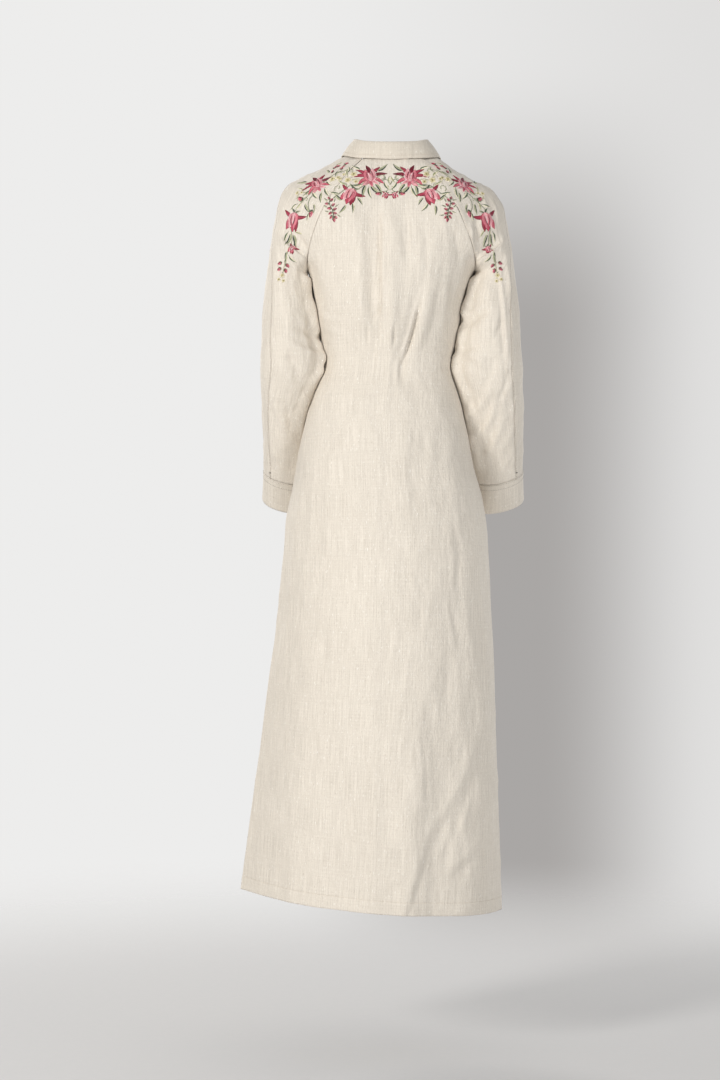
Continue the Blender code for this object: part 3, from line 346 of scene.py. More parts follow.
# Each side's own axis for a, and the way it faces
VIEWS = {"back": (0, (0, 1, 0)), "front": (0, (0, -1, 0)), "left": (1, (1, 0, 0)), "right": (1, (-1, 0, 0))}
CREASE_ENDS_STRAIGHT = (0.1, 0.9)  # a crease's bow is left out towards its ends
CREASE_GAIN = {"body": 1.1, "sleeve": 1.35}

# -------- sizes of the fine form, in metres
EASE_COLUMNS = (3, 16)  # columns in from the side seams over which the easing comes in
EASE_REACH = 0.06  # the yoke is eased into the skirt over this much above and below the underarm
EASE_ROUNDS = 110
FOLD_CLEAR_SHARE = 3 / 22  # the largest folds fade out over this share of a panel towards its seams
SEAM_ROLL = 0.0004
SEAM_ROLL_WIDE = 0.0010
SEAM_WELT = 0.0004  # the turned allowance under the cloth beside a seam
SEAM_WELT_WIDE = (0.006, 0.010)
HEM_DEEP = 0.0222
HEM_FULL = 0.0004
HEM_PULL = 0.0006
HEM_PULL_WIDE = 0.0011
PUCKER_PITCH = 0.011  # small puckers along the hem's stitches
PUCKER_UNEVEN = 140.0
PUCKER_SHARE = 0.6  # of the stitches' pull
SLEEVE_CALM_Z = (-0.552, -0.543)  # creases fade out over this height, at the cuff's seam

# Uneven wrinkles: size across, round and down, how high, a seed, and whether their crests are sharp
WRINKLES = {
    "body": (
        ((0.050, 0.060, 0.260), 0.0015, 11.3, False),
        ((0.034, 0.040, 0.120), 0.0008, 27.1, True),
        ((0.020, 0.022, 0.050), 0.0004, 41.7, True),
    ),
    "sleeve": (
        ((0.035, 0.040, 0.120), 0.0011, 53.9, False),
        ((0.026, 0.030, 0.070), 0.0008, 61.2, True),
        ((0.016, 0.018, 0.036), 0.0004, 77.5, True),
    ),
}
CREST_MIDDLE, CREST_FALL = 0.6, 4.0  # a sharp crest stands this high and falls away this fast

# A hanging sleeve's inner side is laid against the body where the gap is under the first size, and left
# as it is where the gap is over the second; it comes in over the next two, below the underarm.
NESTLE_GAPS = (0.012, 0.026)
NESTLE_DOWN = (0.0, 0.014)
NESTLE_CLEAR = 0.0012
NESTLE_BACK = 0.030  # a sleeve's point looks for the body from this far behind it
NESTLE_REACH = 0.1  # and as far as this
NESTLE_FACING = (0.0, 0.3)  # how far the cloth faces the body, over which it is laid against it
# Where the sleeve's folds leave a notch beside the body: its height, half height and depth in millimetres
NESTLE_NOTCHES = {
    1: ((-314, 7, 7), (-364, 7, 4), (-240, 14, 3)),
    -1: ((-284, 8, 8), (-330, 12, 7), (-240, 12, 3)),
}
NESTLE_OPEN = (0.0, 0.35)  # how far the cloth faces backwards, over which a notch opens

CUFF_ROWS = 26
CUFF_WAVE = 0.0004
CUFF_WAVE_SIZE = (0.018, 0.018, 0.014)
CUFF_WAVE_SEED, LEAF_WAVE_SEED = 3.0, 7.0
STAND_ROWS = 10
STAND_TUCK = 0.0018  # the stand's foot is sewn in behind the neck edge by this
STAND_ROUND = 0.03  # share of the neck over which the stand's lapped end is rounded off
STAND_LAP_REACH = 30  # the stand's last points, among which the collar button is placed
LEAF_ROWS = 34
LEAF_STITCH = 0.006  # the edge stitching's distance from the leaf's edge
LEAF_EDGE_FULL = 0.0003  # the leaf is this much fuller outside its stitches
LEAF_EDGE_SOFT = 0.001  # over this much on either side of them
LEAF_LAID = (0.25, 0.5, 0.75, 1.0)  # shares of the way from its fold to its edge where the leaf is drawn
LEAF_WAVE = 0.0006
LEAF_WAVE_SIZE = (0.030, 0.030, 0.020)
# Small puckers in the leaf at the back: place, depth and half width
LEAF_PUCKERS = ((-0.040, 0.0006, 0.0030), (-0.034, -0.0004, 0.0030), (0.012, 0.0004, 0.0040))
STRIP_ACROSS = 16
STRIP_RELIEF = 0.6  # the strip's edges are rolled by this share of a seam's

BUTTON_ROUND = 48
BUTTON_SHARP = math.radians(40)  # edges sharper than this stay crisp
BUTTON_COUNT = 5
BUTTON_CLEAR = 0.0006  # the thread holds a button's back this far off the cloth
FIRST_BUTTON = 0.040  # from the top of the placket to the first button's middle
LAST_BUTTON = 0.050  # from the last button's middle to the placket's foot
# A button's section from its back to its dished face, in radii and half thicknesses
BUTTON_PROFILE = ((0.80, -1.0), (0.94, -0.82), (1.0, -0.3), (1.0, 0.3), (0.96, 0.8), (0.86, 1.0),
                  (0.72, 0.92), (0.62, 0.55), (0.40, 0.45))
HOLE_OFF = 0.0011
HOLE_RADIUS = 0.00062
HOLE_ROUND = 12

STITCH_PITCH = 0.0031  # from the start of one stitch to the next
STITCH_LONG = 0.0023
STITCH_THREAD = 0.00062
STITCH_SIDES, STITCH_RINGS = 6, 4
STITCH_LIFT = 0.00012
EDGE_STITCH = 0.0016  # topstitching's distance from a sewn edge
CUFF_STITCHES = (0.0550, 0.0460)  # above the cuff's lower edge
# A buttonhole: its length, half its slit, half its width, and the length of the tack at each end
HOLE_LONG, HOLE_SLIT, HOLE_BAR, HOLE_END = 0.0140, 0.0003, 0.0014, 0.0010
BAR_GAP, BAR_HIGH, BAR_THREAD = 0.00050, 0.00025, 0.00024
# A thread over a button: places along it, in hole distances, and heights off the cloth, in thicknesses
THREAD_PATH = ((-1.1, 0.3), (-1.0, 1.1), (-0.5, 1.34), (0.5, 1.34), (1.0, 1.1), (1.1, 0.3))
# The bar tack that ends the opening over each cuff, above its seam
TACK_LONG, TACK_UP, TACK_HIGH = 0.0044, 0.0100, 0.0020
PLACKET_BOX = 0.0240  # the box of stitches at the placket's foot is this high
COLLAR_COVERS = 4  # the seams' first rows lie under the collar
RAGLAN_STOPS = 8  # the raglan's stitches stop this many rows above the underarm
LEAF_END_COLUMNS = 4  # the leaf's edge stitching stops this many columns short of its corners
LEAF_FIRST_ROW, LEAF_LAST_ROW = 12, 29

# -------- the embroidery
THREAD_RADIUS = 0.00033
THREAD_GAP = 0.00058  # between threads laid side by side
THREAD_SIDES = 3
THREAD_LIFT = 0.00010
THREAD_LAYER = 0.00016  # each layer of stitches lies this much higher
THREAD_UNEVEN = 0.12  # how much lighter or darker one thread is than the next
PETAL_POINTS = 5
PETAL_FEWEST = 3  # threads
PETAL_PUFF = 0.00035  # a filled petal stands up by this in its middle
PETAL_FULLEST = 0.85  # under 1 a petal is widest nearer its base
PETAL_ENDS = 0.035  # share of its width that is left at its base and its tip
TINT_UNEVEN = 0.15  # how much further up or down the next thread changes colour
RIM_FROM = 0.80  # the threads outside this share of a petal's width are its edge
RIM_MIX = (0.15, 0.85)  # shares of the petal's own tint and of the edge's there
# The embroidered leaves: their bend, the shares of their length between which stitches leave the vein,
# how densely and at least how many, how much further up and how far at most each one ends, the powers
# that set where a leaf is widest and how blunt it is, a stitch's middle (share of the way out, and
# further up), and its puff as a share of a petal's
LEAFLET_BEND = 0.32
LEAFLET_RUN = (0.02, 0.88)
LEAFLET_FILL, LEAFLET_FEWEST = 0.8, 5
LEAFLET_SLANT, LEAFLET_TIP = 0.14, 0.99
LEAFLET_SHAPE = (0.8, 0.9)
LEAFLET_MIDDLE = (0.5, 0.08)
LEAFLET_PUFF = 0.7
VEIN_RUN = (-0.12, 0.9)
VEIN_POINTS = 6
STEM_STEP, STEM_FEWEST = 0.003, 4
SPRIG_LEAF_WIDE = 0.3
CURL_TURNS = 0.85
CURL_POINTS = 9
CURL_CLOSE = 0.75  # a tendril winds in by this share
PLACE_REACH, THREAD_REACH = 0.4, 0.03  # how far off the cloth is looked for
GARLAND_MIDDLE = 0.0025  # the garland is mirrored about this line

# Thread colours (linear)
SILKS = {
    "wine": (0.150, 0.006, 0.020), "crimson": (0.310, 0.018, 0.045), "rose": (0.600, 0.085, 0.140),
    "pink": (0.800, 0.260, 0.310), "blush": (0.900, 0.540, 0.550), "white": (0.930, 0.830, 0.800),
    "dark": (0.038, 0.062, 0.040), "mid": (0.140, 0.190, 0.100), "sage": (0.480, 0.500, 0.300),
    "olive": (0.250, 0.215, 0.070), "cream": (0.720, 0.610, 0.280), "ivory": (0.880, 0.820, 0.620),
}
# A leaf's near half, its far half and its vein
LEAFLET_TONES = {
    "dark": ("dark", "sage", "ivory"), "mid": ("mid", "ivory", "dark"), "pale": ("sage", "ivory", "olive"),
}

# The flowers' petals, in millimetres and degrees: base, heading, length, width, bend, bluntness, layer
# and the threads at the base, at the tip and along the edges.
PETAL_COLUMNS = ("x", "y", "heading", "long", "wide", "bend", "blunt", "layer", "inner", "outer", "edge")
FLOWERS = {
    # an open water flower: a pale cup inside a fan of slender dark petals, a rosy skirt below
    "lotus": (
        (-5, -1, -16, 22, 8.5, -0.46, 0.62, 0, "rose", "crimson", "wine"),
        (0, 1, -8, 22, 8.5, 0.36, 0.62, 0, "crimson", "wine", "wine"),
        (6, 0, 22, 22, 8.5, 0.50, 0.62, 0, "rose", "crimson", "wine"),
        (-7, -3, -56, 23, 8.5, -0.52, 0.62, 0, "crimson", "wine", "wine"),
        (7, -2, 58, 24, 8.5, 0.56, 0.62, 0, "rose", "crimson", "wine"),
        (-6, -8, -100, 20, 8.0, -0.44, 0.62, 0, "pink", "rose", "crimson"),
        (7, -8, 98, 19, 8.0, 0.48, 0.62, 0, "pink", "rose", "crimson"),
        (-3, -10, -152, 16, 8.0, 0.30, 0.6, 0, "pink", "blush", "white"),
        (3, -10, 150, 17, 8.0, -0.30, 0.6, 0, "pink", "blush", "rose"),
        (0, -11, 178, 15, 7.0, 0.14, 0.6, 1, "rose", "pink", "blush"),
        (-2, -13, -27, 27, 13.5, 0.34, 0.5, 1, "pink", "blush", "white"),
        (2, -13, 29, 26, 13.0, -0.30, 0.5, 1, "pink", "pink", "crimson"),
        (0, -14, 2, 21, 13.0, 0.12, 0.45, 2, "blush", "pink", "crimson"),
        (-5, -8, -10, 18, 1.8, 0.34, 0.8, 4, "crimson", "wine", None),
        (4, -9, 20, 16, 1.8, -0.34, 0.8, 4, "crimson", "wine", None),
        (0, -7, 4, 13, 1.6, 0.20, 0.8, 4, "white", "white", None),
    ),
    # a half-open round one: a pale cup of lapped petals with dark ones curling behind it
    "rose": (
        (-4, -7, -34, 21, 10.0, 0.34, 0.45, 0, "pink", "rose", "crimson"),
        (4, -7, 34, 22, 9.5, -0.30, 0.45, 0, "rose", "crimson", "wine"),
        (0, -7, 2, 23, 11.0, 0.12, 0.45, 0, "rose", "rose", "wine"),
        (-6, -10, -76, 15, 7.5, -0.60, 0.55, 0, "rose", "crimson", "wine"),
        (6, -10, 70, 16, 7.5, 0.60, 0.55, 0, "rose", "crimson", "wine"),
        (-2, -15, -24, 25, 13.5, 0.32, 0.42, 1, "pink", "blush", "white"),
        (2, -15, 25, 25, 13.0, -0.32, 0.42, 1, "pink", "pink", "crimson"),
        (0, -16, 0, 21, 12.5, 0.08, 0.4, 2, "blush", "pink", "rose"),
        (-4, -10, -9, 16, 1.8, 0.34, 0.8, 4, "crimson", "wine", None),
        (3, -10, 15, 15, 1.8, -0.34, 0.8, 4, "crimson", "wine", None),
        (0, -9, 3, 12, 1.5, 0.14, 0.8, 4, "white", "white", None),
        (-1, -15, -148, 9, 2.6, 0.34, 0.8, 3, "dark", "mid", None),
        (1, -15, 140, 9, 2.6, -0.34, 0.8, 3, "dark", "sage", None),
    ),
    "bud": (
        (0, -4, -14, 8.5, 4.2, 0.16, 0.8, 1, "crimson", "wine", "rose"),
        (0, -4, 14, 8, 4.2, -0.12, 0.8, 2, "rose", "pink", "white"),
        (0, -4, -34, 4.5, 1.8, -0.20, 0.8, 3, "dark", "mid", None),
        (0, -4, 30, 4.5, 1.8, 0.20, 0.8, 3, "dark", "sage", None),
    ),
    # a small open flower of round petals, with four stitches for its eye
    "cream": (
        *((0, 0, 72 * k + 18, 5, 4, 0.05, 0.5, 1 + k % 2, "cream", "ivory", "white") for k in range(5)),
        *((0, 0, 90 * k, 1.3, 1, 0.05, 0.5, 3, "olive", "olive", None) for k in range(4)),
    ),
}
FLOWER_SIZES = {"lotus": 54, "rose": 34, "bud": 8, "cream": 10}  # the sizes that these petals are given for

# A hanging sprig in millimetres: its stem, each bud's place, heading and length, and its small leaves
SPRIG_STEM = ((-3, 20), (1, 8), (0, -6), (3, -20))
SPRIG_BUDS = (
    (-4, 14, -60, 7), (5, 10, 62, 7), (-4, 4, -70, 7), (4, 0, 66, 7.5), (-4, -5, -84, 7), (5, -9, 100, 7),
    (-2, -12, -120, 7), (6, -16, 120, 6.5), (3, -22, 175, 7.5), (-1, -19, 214, 6.5), (-1, 19, 10, 6),
)
SPRIG_LEAVES = (
    (-7, 9, -50, 8), (7, 4, 50, 8), (-6, -1, -60, 7), (7, -5, 70, 7), (-5, -16, -130, 7), (3, 16, 40, 8),
)

# One half of the garland on the back, in millimetres. x is from the middle, turn leans a motif outwards,
# in degrees. A leaf also has its width as a share of its length and its tone; a vine has its own points.
BACK_GARLAND = (
    ("vine", 10, -55, 0, 0, ((-10, 0), (-4, 10), (6, 9), (14, 20)), "mid"),
    ("vine", 35, -55, 0, 0, ((-4, 14), (10, -2), (22, -10), (34, -18)), "dark"),
    ("vine", 70, -70, 0, 0, ((-14, 16), (0, 14), (14, 2), (30, -12)), "mid"),
    ("vine", 60, -45, 0, 0, ((-18, -10), (-4, 0), (8, -2), (18, 4)), "pale"),
    ("vine", 22, -62, 0, 0, ((12, 8), (2, -2), (-8, -7), (-18, -4), (-19, 5)), "dark"),
    ("vine", 12, -48, 0, 0, ((12, -12), (4, -2), (-4, 6), (2, 13), (7, 8)), "mid"),
    ("leaf", 12, -26, -68, 22, 0.28, "dark"), ("leaf", 58, -22, 46, 19, 0.28, "mid"),
    ("leaf", 48, -66, 146, 24, 0.24, "dark"), ("leaf", 56, -59, 122, 19, 0.26, "mid"),
    ("leaf", 38, -70, 172, 22, 0.24, "mid"), ("leaf", 28, -67, 204, 25, 0.24, "dark"),
    ("leaf", 18, -60, 228, 22, 0.24, "dark"), ("leaf", 8, -59, 196, 17, 0.28, "mid"),
    ("leaf", 3, -47, 168, 13, 0.30, "pale"), ("leaf", 66, -60, 60, 15, 0.26, "dark"),
    ("leaf", 91, -80, 62, 19, 0.28, "dark"), ("leaf", 97, -72, 94, 18, 0.26, "mid"),
    ("leaf", 62, -97, 198, 19, 0.26, "mid"), ("leaf", 80, -101, 160, 18, 0.26, "dark"),
    ("leaf", 85, -53, 72, 17, 0.26, "pale"), ("leaf", 77, -33, 30, 17, 0.28, "pale"),
    ("leaf", 51, -84, 232, 16, 0.26, "dark"), ("leaf", 70, -25, -14, 12, 0.28, "mid"),
    ("curl", 14, -42, 20, 15), ("curl", 90, -61, 60, 15), ("curl", 79, -57, -40, 12),
    ("curl", 68, -30, 10, 12),
    ("cream", 63, -36, 10, 14), ("cream", 73, -47, 30, 14), ("cream", 59, -50, 0, 11),
    ("cream", 87, -44, 0, 10), ("cream", 80, -36, 0, 8), ("rose", 8, -75, 156, 13),
    ("bud", 20, -72, 100, 10), ("sprig", 101, -97, 22, 0),
    ("rose", 71, -76, 152, 34), ("lotus", 35, -38, 6, 50),
)

# One sleeve's vine, in the same columns
SLEEVE_GARLAND = (
    ("vine", 118, -60, 0, 0, ((-44, 46), (-22, 36), (0, 16), (14, -6)), "dark"),
    ("vine", 150, -85, 0, 0, ((-12, 20), (0, 6), (12, -10), (20, -26)), "mid"),
    ("vine", 136, -80, 0, 0, ((-4, 14), (4, 0), (4, -12), (0, -22)), "mid"),
    ("vine", 172, -150, 0, 0, ((0, 22), (-2, 4), (2, -14), (12, -36)), "dark"),
    ("vine", 182, -192, 0, 0, ((-4, 14), (0, 4), (3, -8), (4, -22)), "pale"),
    ("vine", 150, -70, 0, 0, ((-14, 10), (-4, 4), (6, 4), (12, -4), (8, -10)), "pale"),
    ("bud", 76, -14, -60, 8), ("bud", 84, -23, -20, 8), ("bud", 91, -18, -70, 8), ("bud", 100, -29, 20, 8),
    ("bud", 96, -21, -40, 7), ("bud", 80, -19, 160, 7),
    ("leaf", 94, -33, 146, 15, 0.28, "dark"), ("leaf", 106, -26, 34, 15, 0.28, "dark"),
    ("leaf", 86, -31, 162, 12, 0.30, "mid"), ("leaf", 88, -12, -30, 10, 0.30, "pale"),
    ("cream", 100, -44, 0, 14), ("cream", 90, -42, 20, 10), ("leaf", 108, -52, 210, 16, 0.28, "mid"),
    ("leaf", 151, -44, 72, 22, 0.26, "dark"), ("leaf", 112, -69, 194, 21, 0.25, "mid"),
    ("leaf", 122, -77, 170, 20, 0.25, "dark"), ("leaf", 132, -74, 204, 20, 0.25, "mid"),
    ("leaf", 142, -68, 146, 18, 0.26, "dark"), ("leaf", 154, -58, 40, 14, 0.28, "pale"),
    ("curl", 146, -80, 40, 13), ("curl", 160, -78, -20, 10), ("bud", 155, -78, 50, 12),
    ("cream", 161, -66, 0, 10), ("cream", 153, -66, 0, 8), ("leaf", 146, -96, 196, 20, 0.25, "dark"),
    ("leaf", 168, -90, 118, 16, 0.28, "mid"), ("leaf", 157, -91, 160, 15, 0.28, "pale"),
    ("bud", 136, -105, 170, 13), ("leaf", 143, -110, 150, 14, 0.30, "mid"),
    ("leaf", 130, -95, 214, 14, 0.28, "dark"),
    ("leaf", 163, -149, 208, 23, 0.25, "dark"), ("leaf", 173, -148, 178, 22, 0.25, "dark"),
    ("leaf", 182, -142, 146, 17, 0.28, "mid"), ("leaf", 158, -138, 230, 14, 0.28, "pale"),
    ("rose", 171, -166, 150, 15), ("leaf", 182, -177, 150, 18, 0.26, "dark"),
    ("leaf", 171, -183, 204, 16, 0.28, "mid"), ("bud", 191, -188, 110, 8), ("bud", 178, -192, 220, 8),
    ("bud", 192, -198, 120, 8), ("bud", 181, -201, 200, 8), ("cream", 187, -209, 0, 10),
    ("cream", 193, -216, 0, 8), ("cream", 185, -219, 0, 8), ("leaf", 184, -206, 232, 9, 0.3, "mid"),
    ("rose", 169, -117, 164, 36), ("lotus", 127, -49, 24, 46),
)

# The sheet that each piece of embroidery is worked on, its garland, the sides it is on, and a seed
EMBROIDERIES = (
    ("back_panel", "embroidery_back", BACK_GARLAND, (1, -1), 5),
    ("sleeve_back_left_panel", "embroidery_sleeve_left", SLEEVE_GARLAND, (1,), 6),
    ("sleeve_back_right_panel", "embroidery_sleeve_right", SLEEVE_GARLAND, (-1,), 7),
)

# -------- colours (linear) and the finishes' sizes
LINEN_LIGHT = (0.785, 0.718, 0.624, 1.0)
LINEN_DARK = (0.610, 0.551, 0.472, 1.0)
COLLAR_LIGHT = (0.715, 0.648, 0.552, 1.0)
COLLAR_DARK = (0.605, 0.542, 0.456, 1.0)
PALE_SLUB = (0.960, 0.930, 0.870, 1.0)
BROWN_SLUB = (0.330, 0.260, 0.190, 1.0)
STITCH_PALE = (0.640, 0.555, 0.450, 1.0)
STITCH_DARK = (0.235, 0.205, 0.175, 1.0)
SHELL_LIGHT = (0.830, 0.770, 0.670, 1.0)
SHELL_DARK = (0.640, 0.560, 0.440, 1.0)

THREAD_PITCH = 0.00085  # of the weave
WARP_TONE_WIDE, WARP_TONE_LONG = 0.0016, 0.060  # one thread's patch of a tone, across and along it
WEFT_SHIFT, SHIFT_DOWN = 5.0, 0.7  # how far a pattern is moved across, and its share of that down
GRAIN_SCALE, BROAD_TONE = 620.0, 9.0
TONE_SHARES = (0.52, 0.18, 0.10, 0.20)  # of the warp, the weft, broad patches and fine grain
TONE_ENDS = (0.36, 0.64)  # the linen is darkest and lightest at these
SLUB_WIDE, SLUB_LONG = 0.0011, 0.0075
BROWN_SLUB_SIZE = 0.8
# Each kind of slub: its size across and down with a shift of its pattern, where that pattern shows and
# how strongly, and its colour
SLUBS = (
    ((SLUB_WIDE, SLUB_LONG, 9.0), (0.675, 0.74, 0.0, 0.9), PALE_SLUB),
    ((SLUB_LONG, SLUB_WIDE, 17.0), (0.75, 0.82, 0.0, 0.5), PALE_SLUB),
    ((SLUB_WIDE * BROWN_SLUB_SIZE, SLUB_LONG * BROWN_SLUB_SIZE, 31.0), (0.66, 0.74, 0.0, 0.45), BROWN_SLUB),
)
SLUB_HIGH = 0.00018
WEAVE_HIGH, WEAVE_SHARE = 0.00010, 0.5
CRINKLE = 62.0
CRINKLE_DETAIL, CREASED_DETAIL = (4.0, 0.6), (3.0, 0.55)  # their noise's detail and roughness
LINEN_CRINKLE, CUFF_CRINKLE = 0.0011, 0.0006  # depths of the washed crinkle
CREASED_CELL, CREASED_SHARE = (0.015, 0.036, 3.0), 1.8  # the finest sharp wrinkles
# Roughness is spread over its pattern: from, to, the roughness there and the roughness here
LINEN_ROUGH, LINEN_SHEEN, LINEN_GLOSS = (0.4, 1.6, 0.92, 0.80), 0.12, 0.25
THREAD_TWIST, THREAD_TWIST_HIGH = 2200.0, 0.00008
THREAD_SHADED, THREAD_ROUGH, THREAD_SHEEN = 0.8, 0.6, 0.15
SILK_SHADES, SILK_SHADED = (0.3, 0.7, 0.0, 0.35), 0.35
SILK_ROUGH, SILK_SHEEN, SILK_GLOSS = (0.2, 0.8, 0.36, 0.52), 0.1, 0.4
SILK_TWIST_HIGH = 0.00006
SHELL_CLOUDS, SHELL_LAYERS, SHELL_SHARES = 420.0, 260.0, (0.6, 0.3)
SHELL_ENDS, SHELL_BENT = (0.3, 0.7), 6.0
SHELL_ROUGH, SHELL_HIGH = (0.3, 0.7, 0.22, 0.36), 0.00002
SHELL_COAT, SHELL_COAT_ROUGH = 0.35, 0.12

# -------- the studio's sizes
CAMERA_AT = (0.0546, 4.145, -0.6687)
CAMERA_TURN = (math.radians(90), 0.0, math.radians(180))
CAMERA_LENS, CAMERA_SENSOR = 79.545, 36.0  # millimetres
FLOOR_Z = -1.570
FLOOR_RADIUS, FLOOR_ROUND = 3.2, 96
FLOOR_GRAIN, FLOOR_GRAIN_HIGH = 90.0, 0.0003
FLOOR_ROUGH, FLOOR_GLOSS = 0.9, 0.1
FLOOR_LIGHT = (0.600, 0.586, 0.578, 1.0)
FLOOR_DARK = (0.575, 0.569, 0.563, 1.0)
FLOOR_FADE = (0.26, 0.85)  # shares of its radius over which the floor fades out
# Where the backdrop's tones change, as the sideways or upward part of a direction: its painted light,
# lighter on the left and dimmer on the right, and its painted shadow
BACKDROP_TURN = (-0.16, 0.06)
BACKDROP_PAINTED_LIT = (0.848, 0.845, 0.838, 1.0)
BACKDROP_PAINTED_DIM = (0.745, 0.738, 0.730, 1.0)
# a painted shadow: the wearer's soft shadow on the paper, painted into the backdrop's colour, with where it
# begins and is full by the sideways, upward and backward parts of a direction
BACKDROP_PAINTED_SHADOW = (0.400, 0.385, 0.375, 1.0)  # a soft shade on the paper behind the garment
PAINTED_SHADOW_LEFT, PAINTED_SHADOW_RIGHT, PAINTED_SHADOW_TOP = (0.030, -0.050), (-0.152, -0.074), (0.200, 0.085)
PAINTED_SHADOW_BACK = (0.0, -0.3)
AMBIENT_COLOUR = (0.985, 0.992, 1.0, 1.0)
AMBIENT = 0.495
# Name, place, what it points at, size, power and colour
LIGHTS = (
    ("key", (2.5, 2.9, 0.6), (0.0, 0.0, -0.7), 1.0, 96.0, (1.0, 0.988, 0.965)),
    ("fill_behind", (-1.7, 3.2, -1.5), (0.0, 0.0, -1.2), 1.8, 49.0, (0.97, 0.985, 1.0)),
    ("front", (1.8, -3.4, 1.0), (0.0, 0.0, -0.6), 1.8, 85.0, (1.0, 0.99, 0.97)),
    ("front_fill", (-2.2, -2.8, 0.0), (0.0, 0.0, -0.7), 2.2, 30.0, (0.98, 0.99, 1.0)),
)


# ======== small geometry tools
def unit(v):
    """Directions of length 1; one with no length stays as it is."""
    v = np.asarray(v, float)
    return v / np.maximum(np.linalg.norm(v, axis=-1, keepdims=True), LEAST_LENGTH)


def table(columns, rows):
    """The rows as one array for each named column."""
    return dict(zip(columns, np.array(rows, float).T))


def smooth(at, values, x):
    """A smooth curve through a column's values, read at x."""
    at, values, x = (np.asarray(v, float) for v in (at, values, x))
    if at[0] > at[-1]:
        at, values = at[::-1], values[::-1]
    steps = np.diff(at)
    slopes = np.diff(values) / steps
    inner = (slopes[:-1] * steps[1:] + slopes[1:] * steps[:-1]) / (steps[1:] + steps[:-1])
    tangents = np.concatenate([slopes[:1], inner, slopes[-1:]])
    i = np.clip(np.searchsorted(at, x, side="right") - 1, 0, len(steps) - 1)
    t = np.clip((x - at[i]) / steps[i], 0.0, 1.0)
    a, b = tangents[i] * steps[i], tangents[i + 1] * steps[i]
    return ((2 * t**3 - 3 * t**2 + 1) * values[i] + (t**3 - 2 * t**2 + t) * a
            + (3 * t**2 - 2 * t**3) * values[i + 1] + (t**3 - t**2) * b)


def ramp(x, low, high):
    """0 below low, 1 above high, smooth between."""
    t = np.clip((x - low) / (high - low), 0.0, 1.0)
    return t * t * (3 - 2 * t)


def round_reach(start, leaving, end, arriving):
    """How long the handles of a cubic are for a round arc of that turn."""
    turn = math.acos(max(-1.0, min(1.0, float(np.dot(unit(leaving), unit(arriving))))))
    turn = max(turn, LEAST_TURN)
    return 4 / 3 * math.tan(turn / 4) / (2 * math.sin(turn / 2)) * np.linalg.norm(end - start)


def cubic(start, leaving, end, arriving, reach_out, reach_in):
    """Points of a cubic from start to end, with handles of those lengths."""
    t = np.linspace(0, 1, DENSE)[:, None]
    p1, p2 = start + unit(leaving) * reach_out, end - unit(arriving) * reach_in
    return (1 - t)**3 * start + 3 * (1 - t)**2 * t * p1 + 3 * (1 - t) * t**2 * p2 + t**3 * end


def arc(start, leaving, end, arriving, full):
    """Points of a round arc, or of a squarer one where full is over 1."""
    reach = full * round_reach(start, leaving, end, arriving)
    return cubic(start, leaving, end, arriving, reach, reach)


def along(points):
    """Distance of each point from the first one, along the line."""
    return np.concatenate([[0.0], np.cumsum(np.linalg.norm(np.diff(points, axis=0), axis=1))])


def read_at(at, run, points):
    """Points of a line where its run is at."""
    return np.stack([np.interp(at, run, points[:, k]) for k in range(3)], axis=-1)


def resample(points, distances):
    """Points of a line that far along it."""
    return read_at(distances, along(points), points)


def grid_normals(grid, outside, closed=False):
    """Unit normals of a grid of points, on the side that outside points to."""
    down = np.gradient(grid, axis=0)
    if closed:
        across = (np.roll(grid, -1, axis=1) - np.roll(grid, 1, axis=1)) / 2
    else:
        across = np.gradient(grid, axis=1)
    normals = unit(np.cross(across, down))
    return normals if (normals * outside).sum() > 0 else -normals


def fold_height(x, z, folds):
    """How far the folds move the cloth out at (x, z)."""
    total = np.zeros_like(x)
    for row in folds:
        f = dict(zip(FOLD_COLUMNS, row))
        run = np.array([f["x1"] - f["x0"], f["z1"] - f["z0"]])
        length = np.linalg.norm(run)
        share = ((x - f["x0"]) * run[0] + (z - f["z0"]) * run[1]) / length**2
        off = ((x - f["x0"]) * run[1] - (z - f["z0"]) * run[0]) / length
        rising = 1.0 if f["z0"] < FOLD_AT_HEM_Z else ramp(share, *FOLD_IN)
        ends = rising * (1 - ramp(share, *FOLD_OUT))
        total += f["high"] * np.exp(-(off / f["half"])**2) * ends
    return total


# ======== the worn surface
yoke = {**table(YOKE_COLUMNS, YOKE), **table(SEAM_COLUMNS, SEAM)}
torso = table(TORSO_COLUMNS, TORSO)
sleeve = table(SLEEVE_COLUMNS, SLEEVE)
collar = table(COLLAR_COLUMNS, COLLAR)
STATIONS = np.linspace(0, 1, len(YOKE))
SEAM_V = np.linspace(0, 1, YOKE_DOWN)
UNDERARM_NORMAL = (0.0, 0.0, -1.0)
OVERARM_SHARE = SEAM[-1][-1]
TUBE_REACH = sleeve["back"][0] * 4 / 3  # handles that make a half ring of the sleeve's depth
LEAST_REACH = 0.012  # so that a section still turns round at the underarm
NEARBY = 0.01  # step along the surface when a direction is read from it
NECK_MIDDLE = np.array([0.0, -0.008, 0.0])


def at_station(name, v):
    """One of the yoke's sizes at a station down the raglan seams."""
    return float(smooth(STATIONS, yoke[name], v))


def seam_point(which, v):
    """A point of a raglan seam or of the shoulder ridge."""
    return np.array([at_station(f"{which}_{axis}", v) for axis in "xyz"])


def seam_normal(which, v):
    """The seam's outward normal, square to the seam's own run."""
    run = unit(seam_point(which, min(v + NEARBY, 1)) - seam_point(which, max(v - NEARBY, 0)))
    letter = which[0]
    normal = np.array([at_station(f"{letter}_n{axis}", v) for axis in "xyz"])
    return unit(normal - np.dot(normal, run) * run)


def flatten(direction, normal, share=1.0):
    """The direction laid into the plane square to normal, fully or in part."""
    return unit(direction - share * np.dot(direction, normal) * normal)


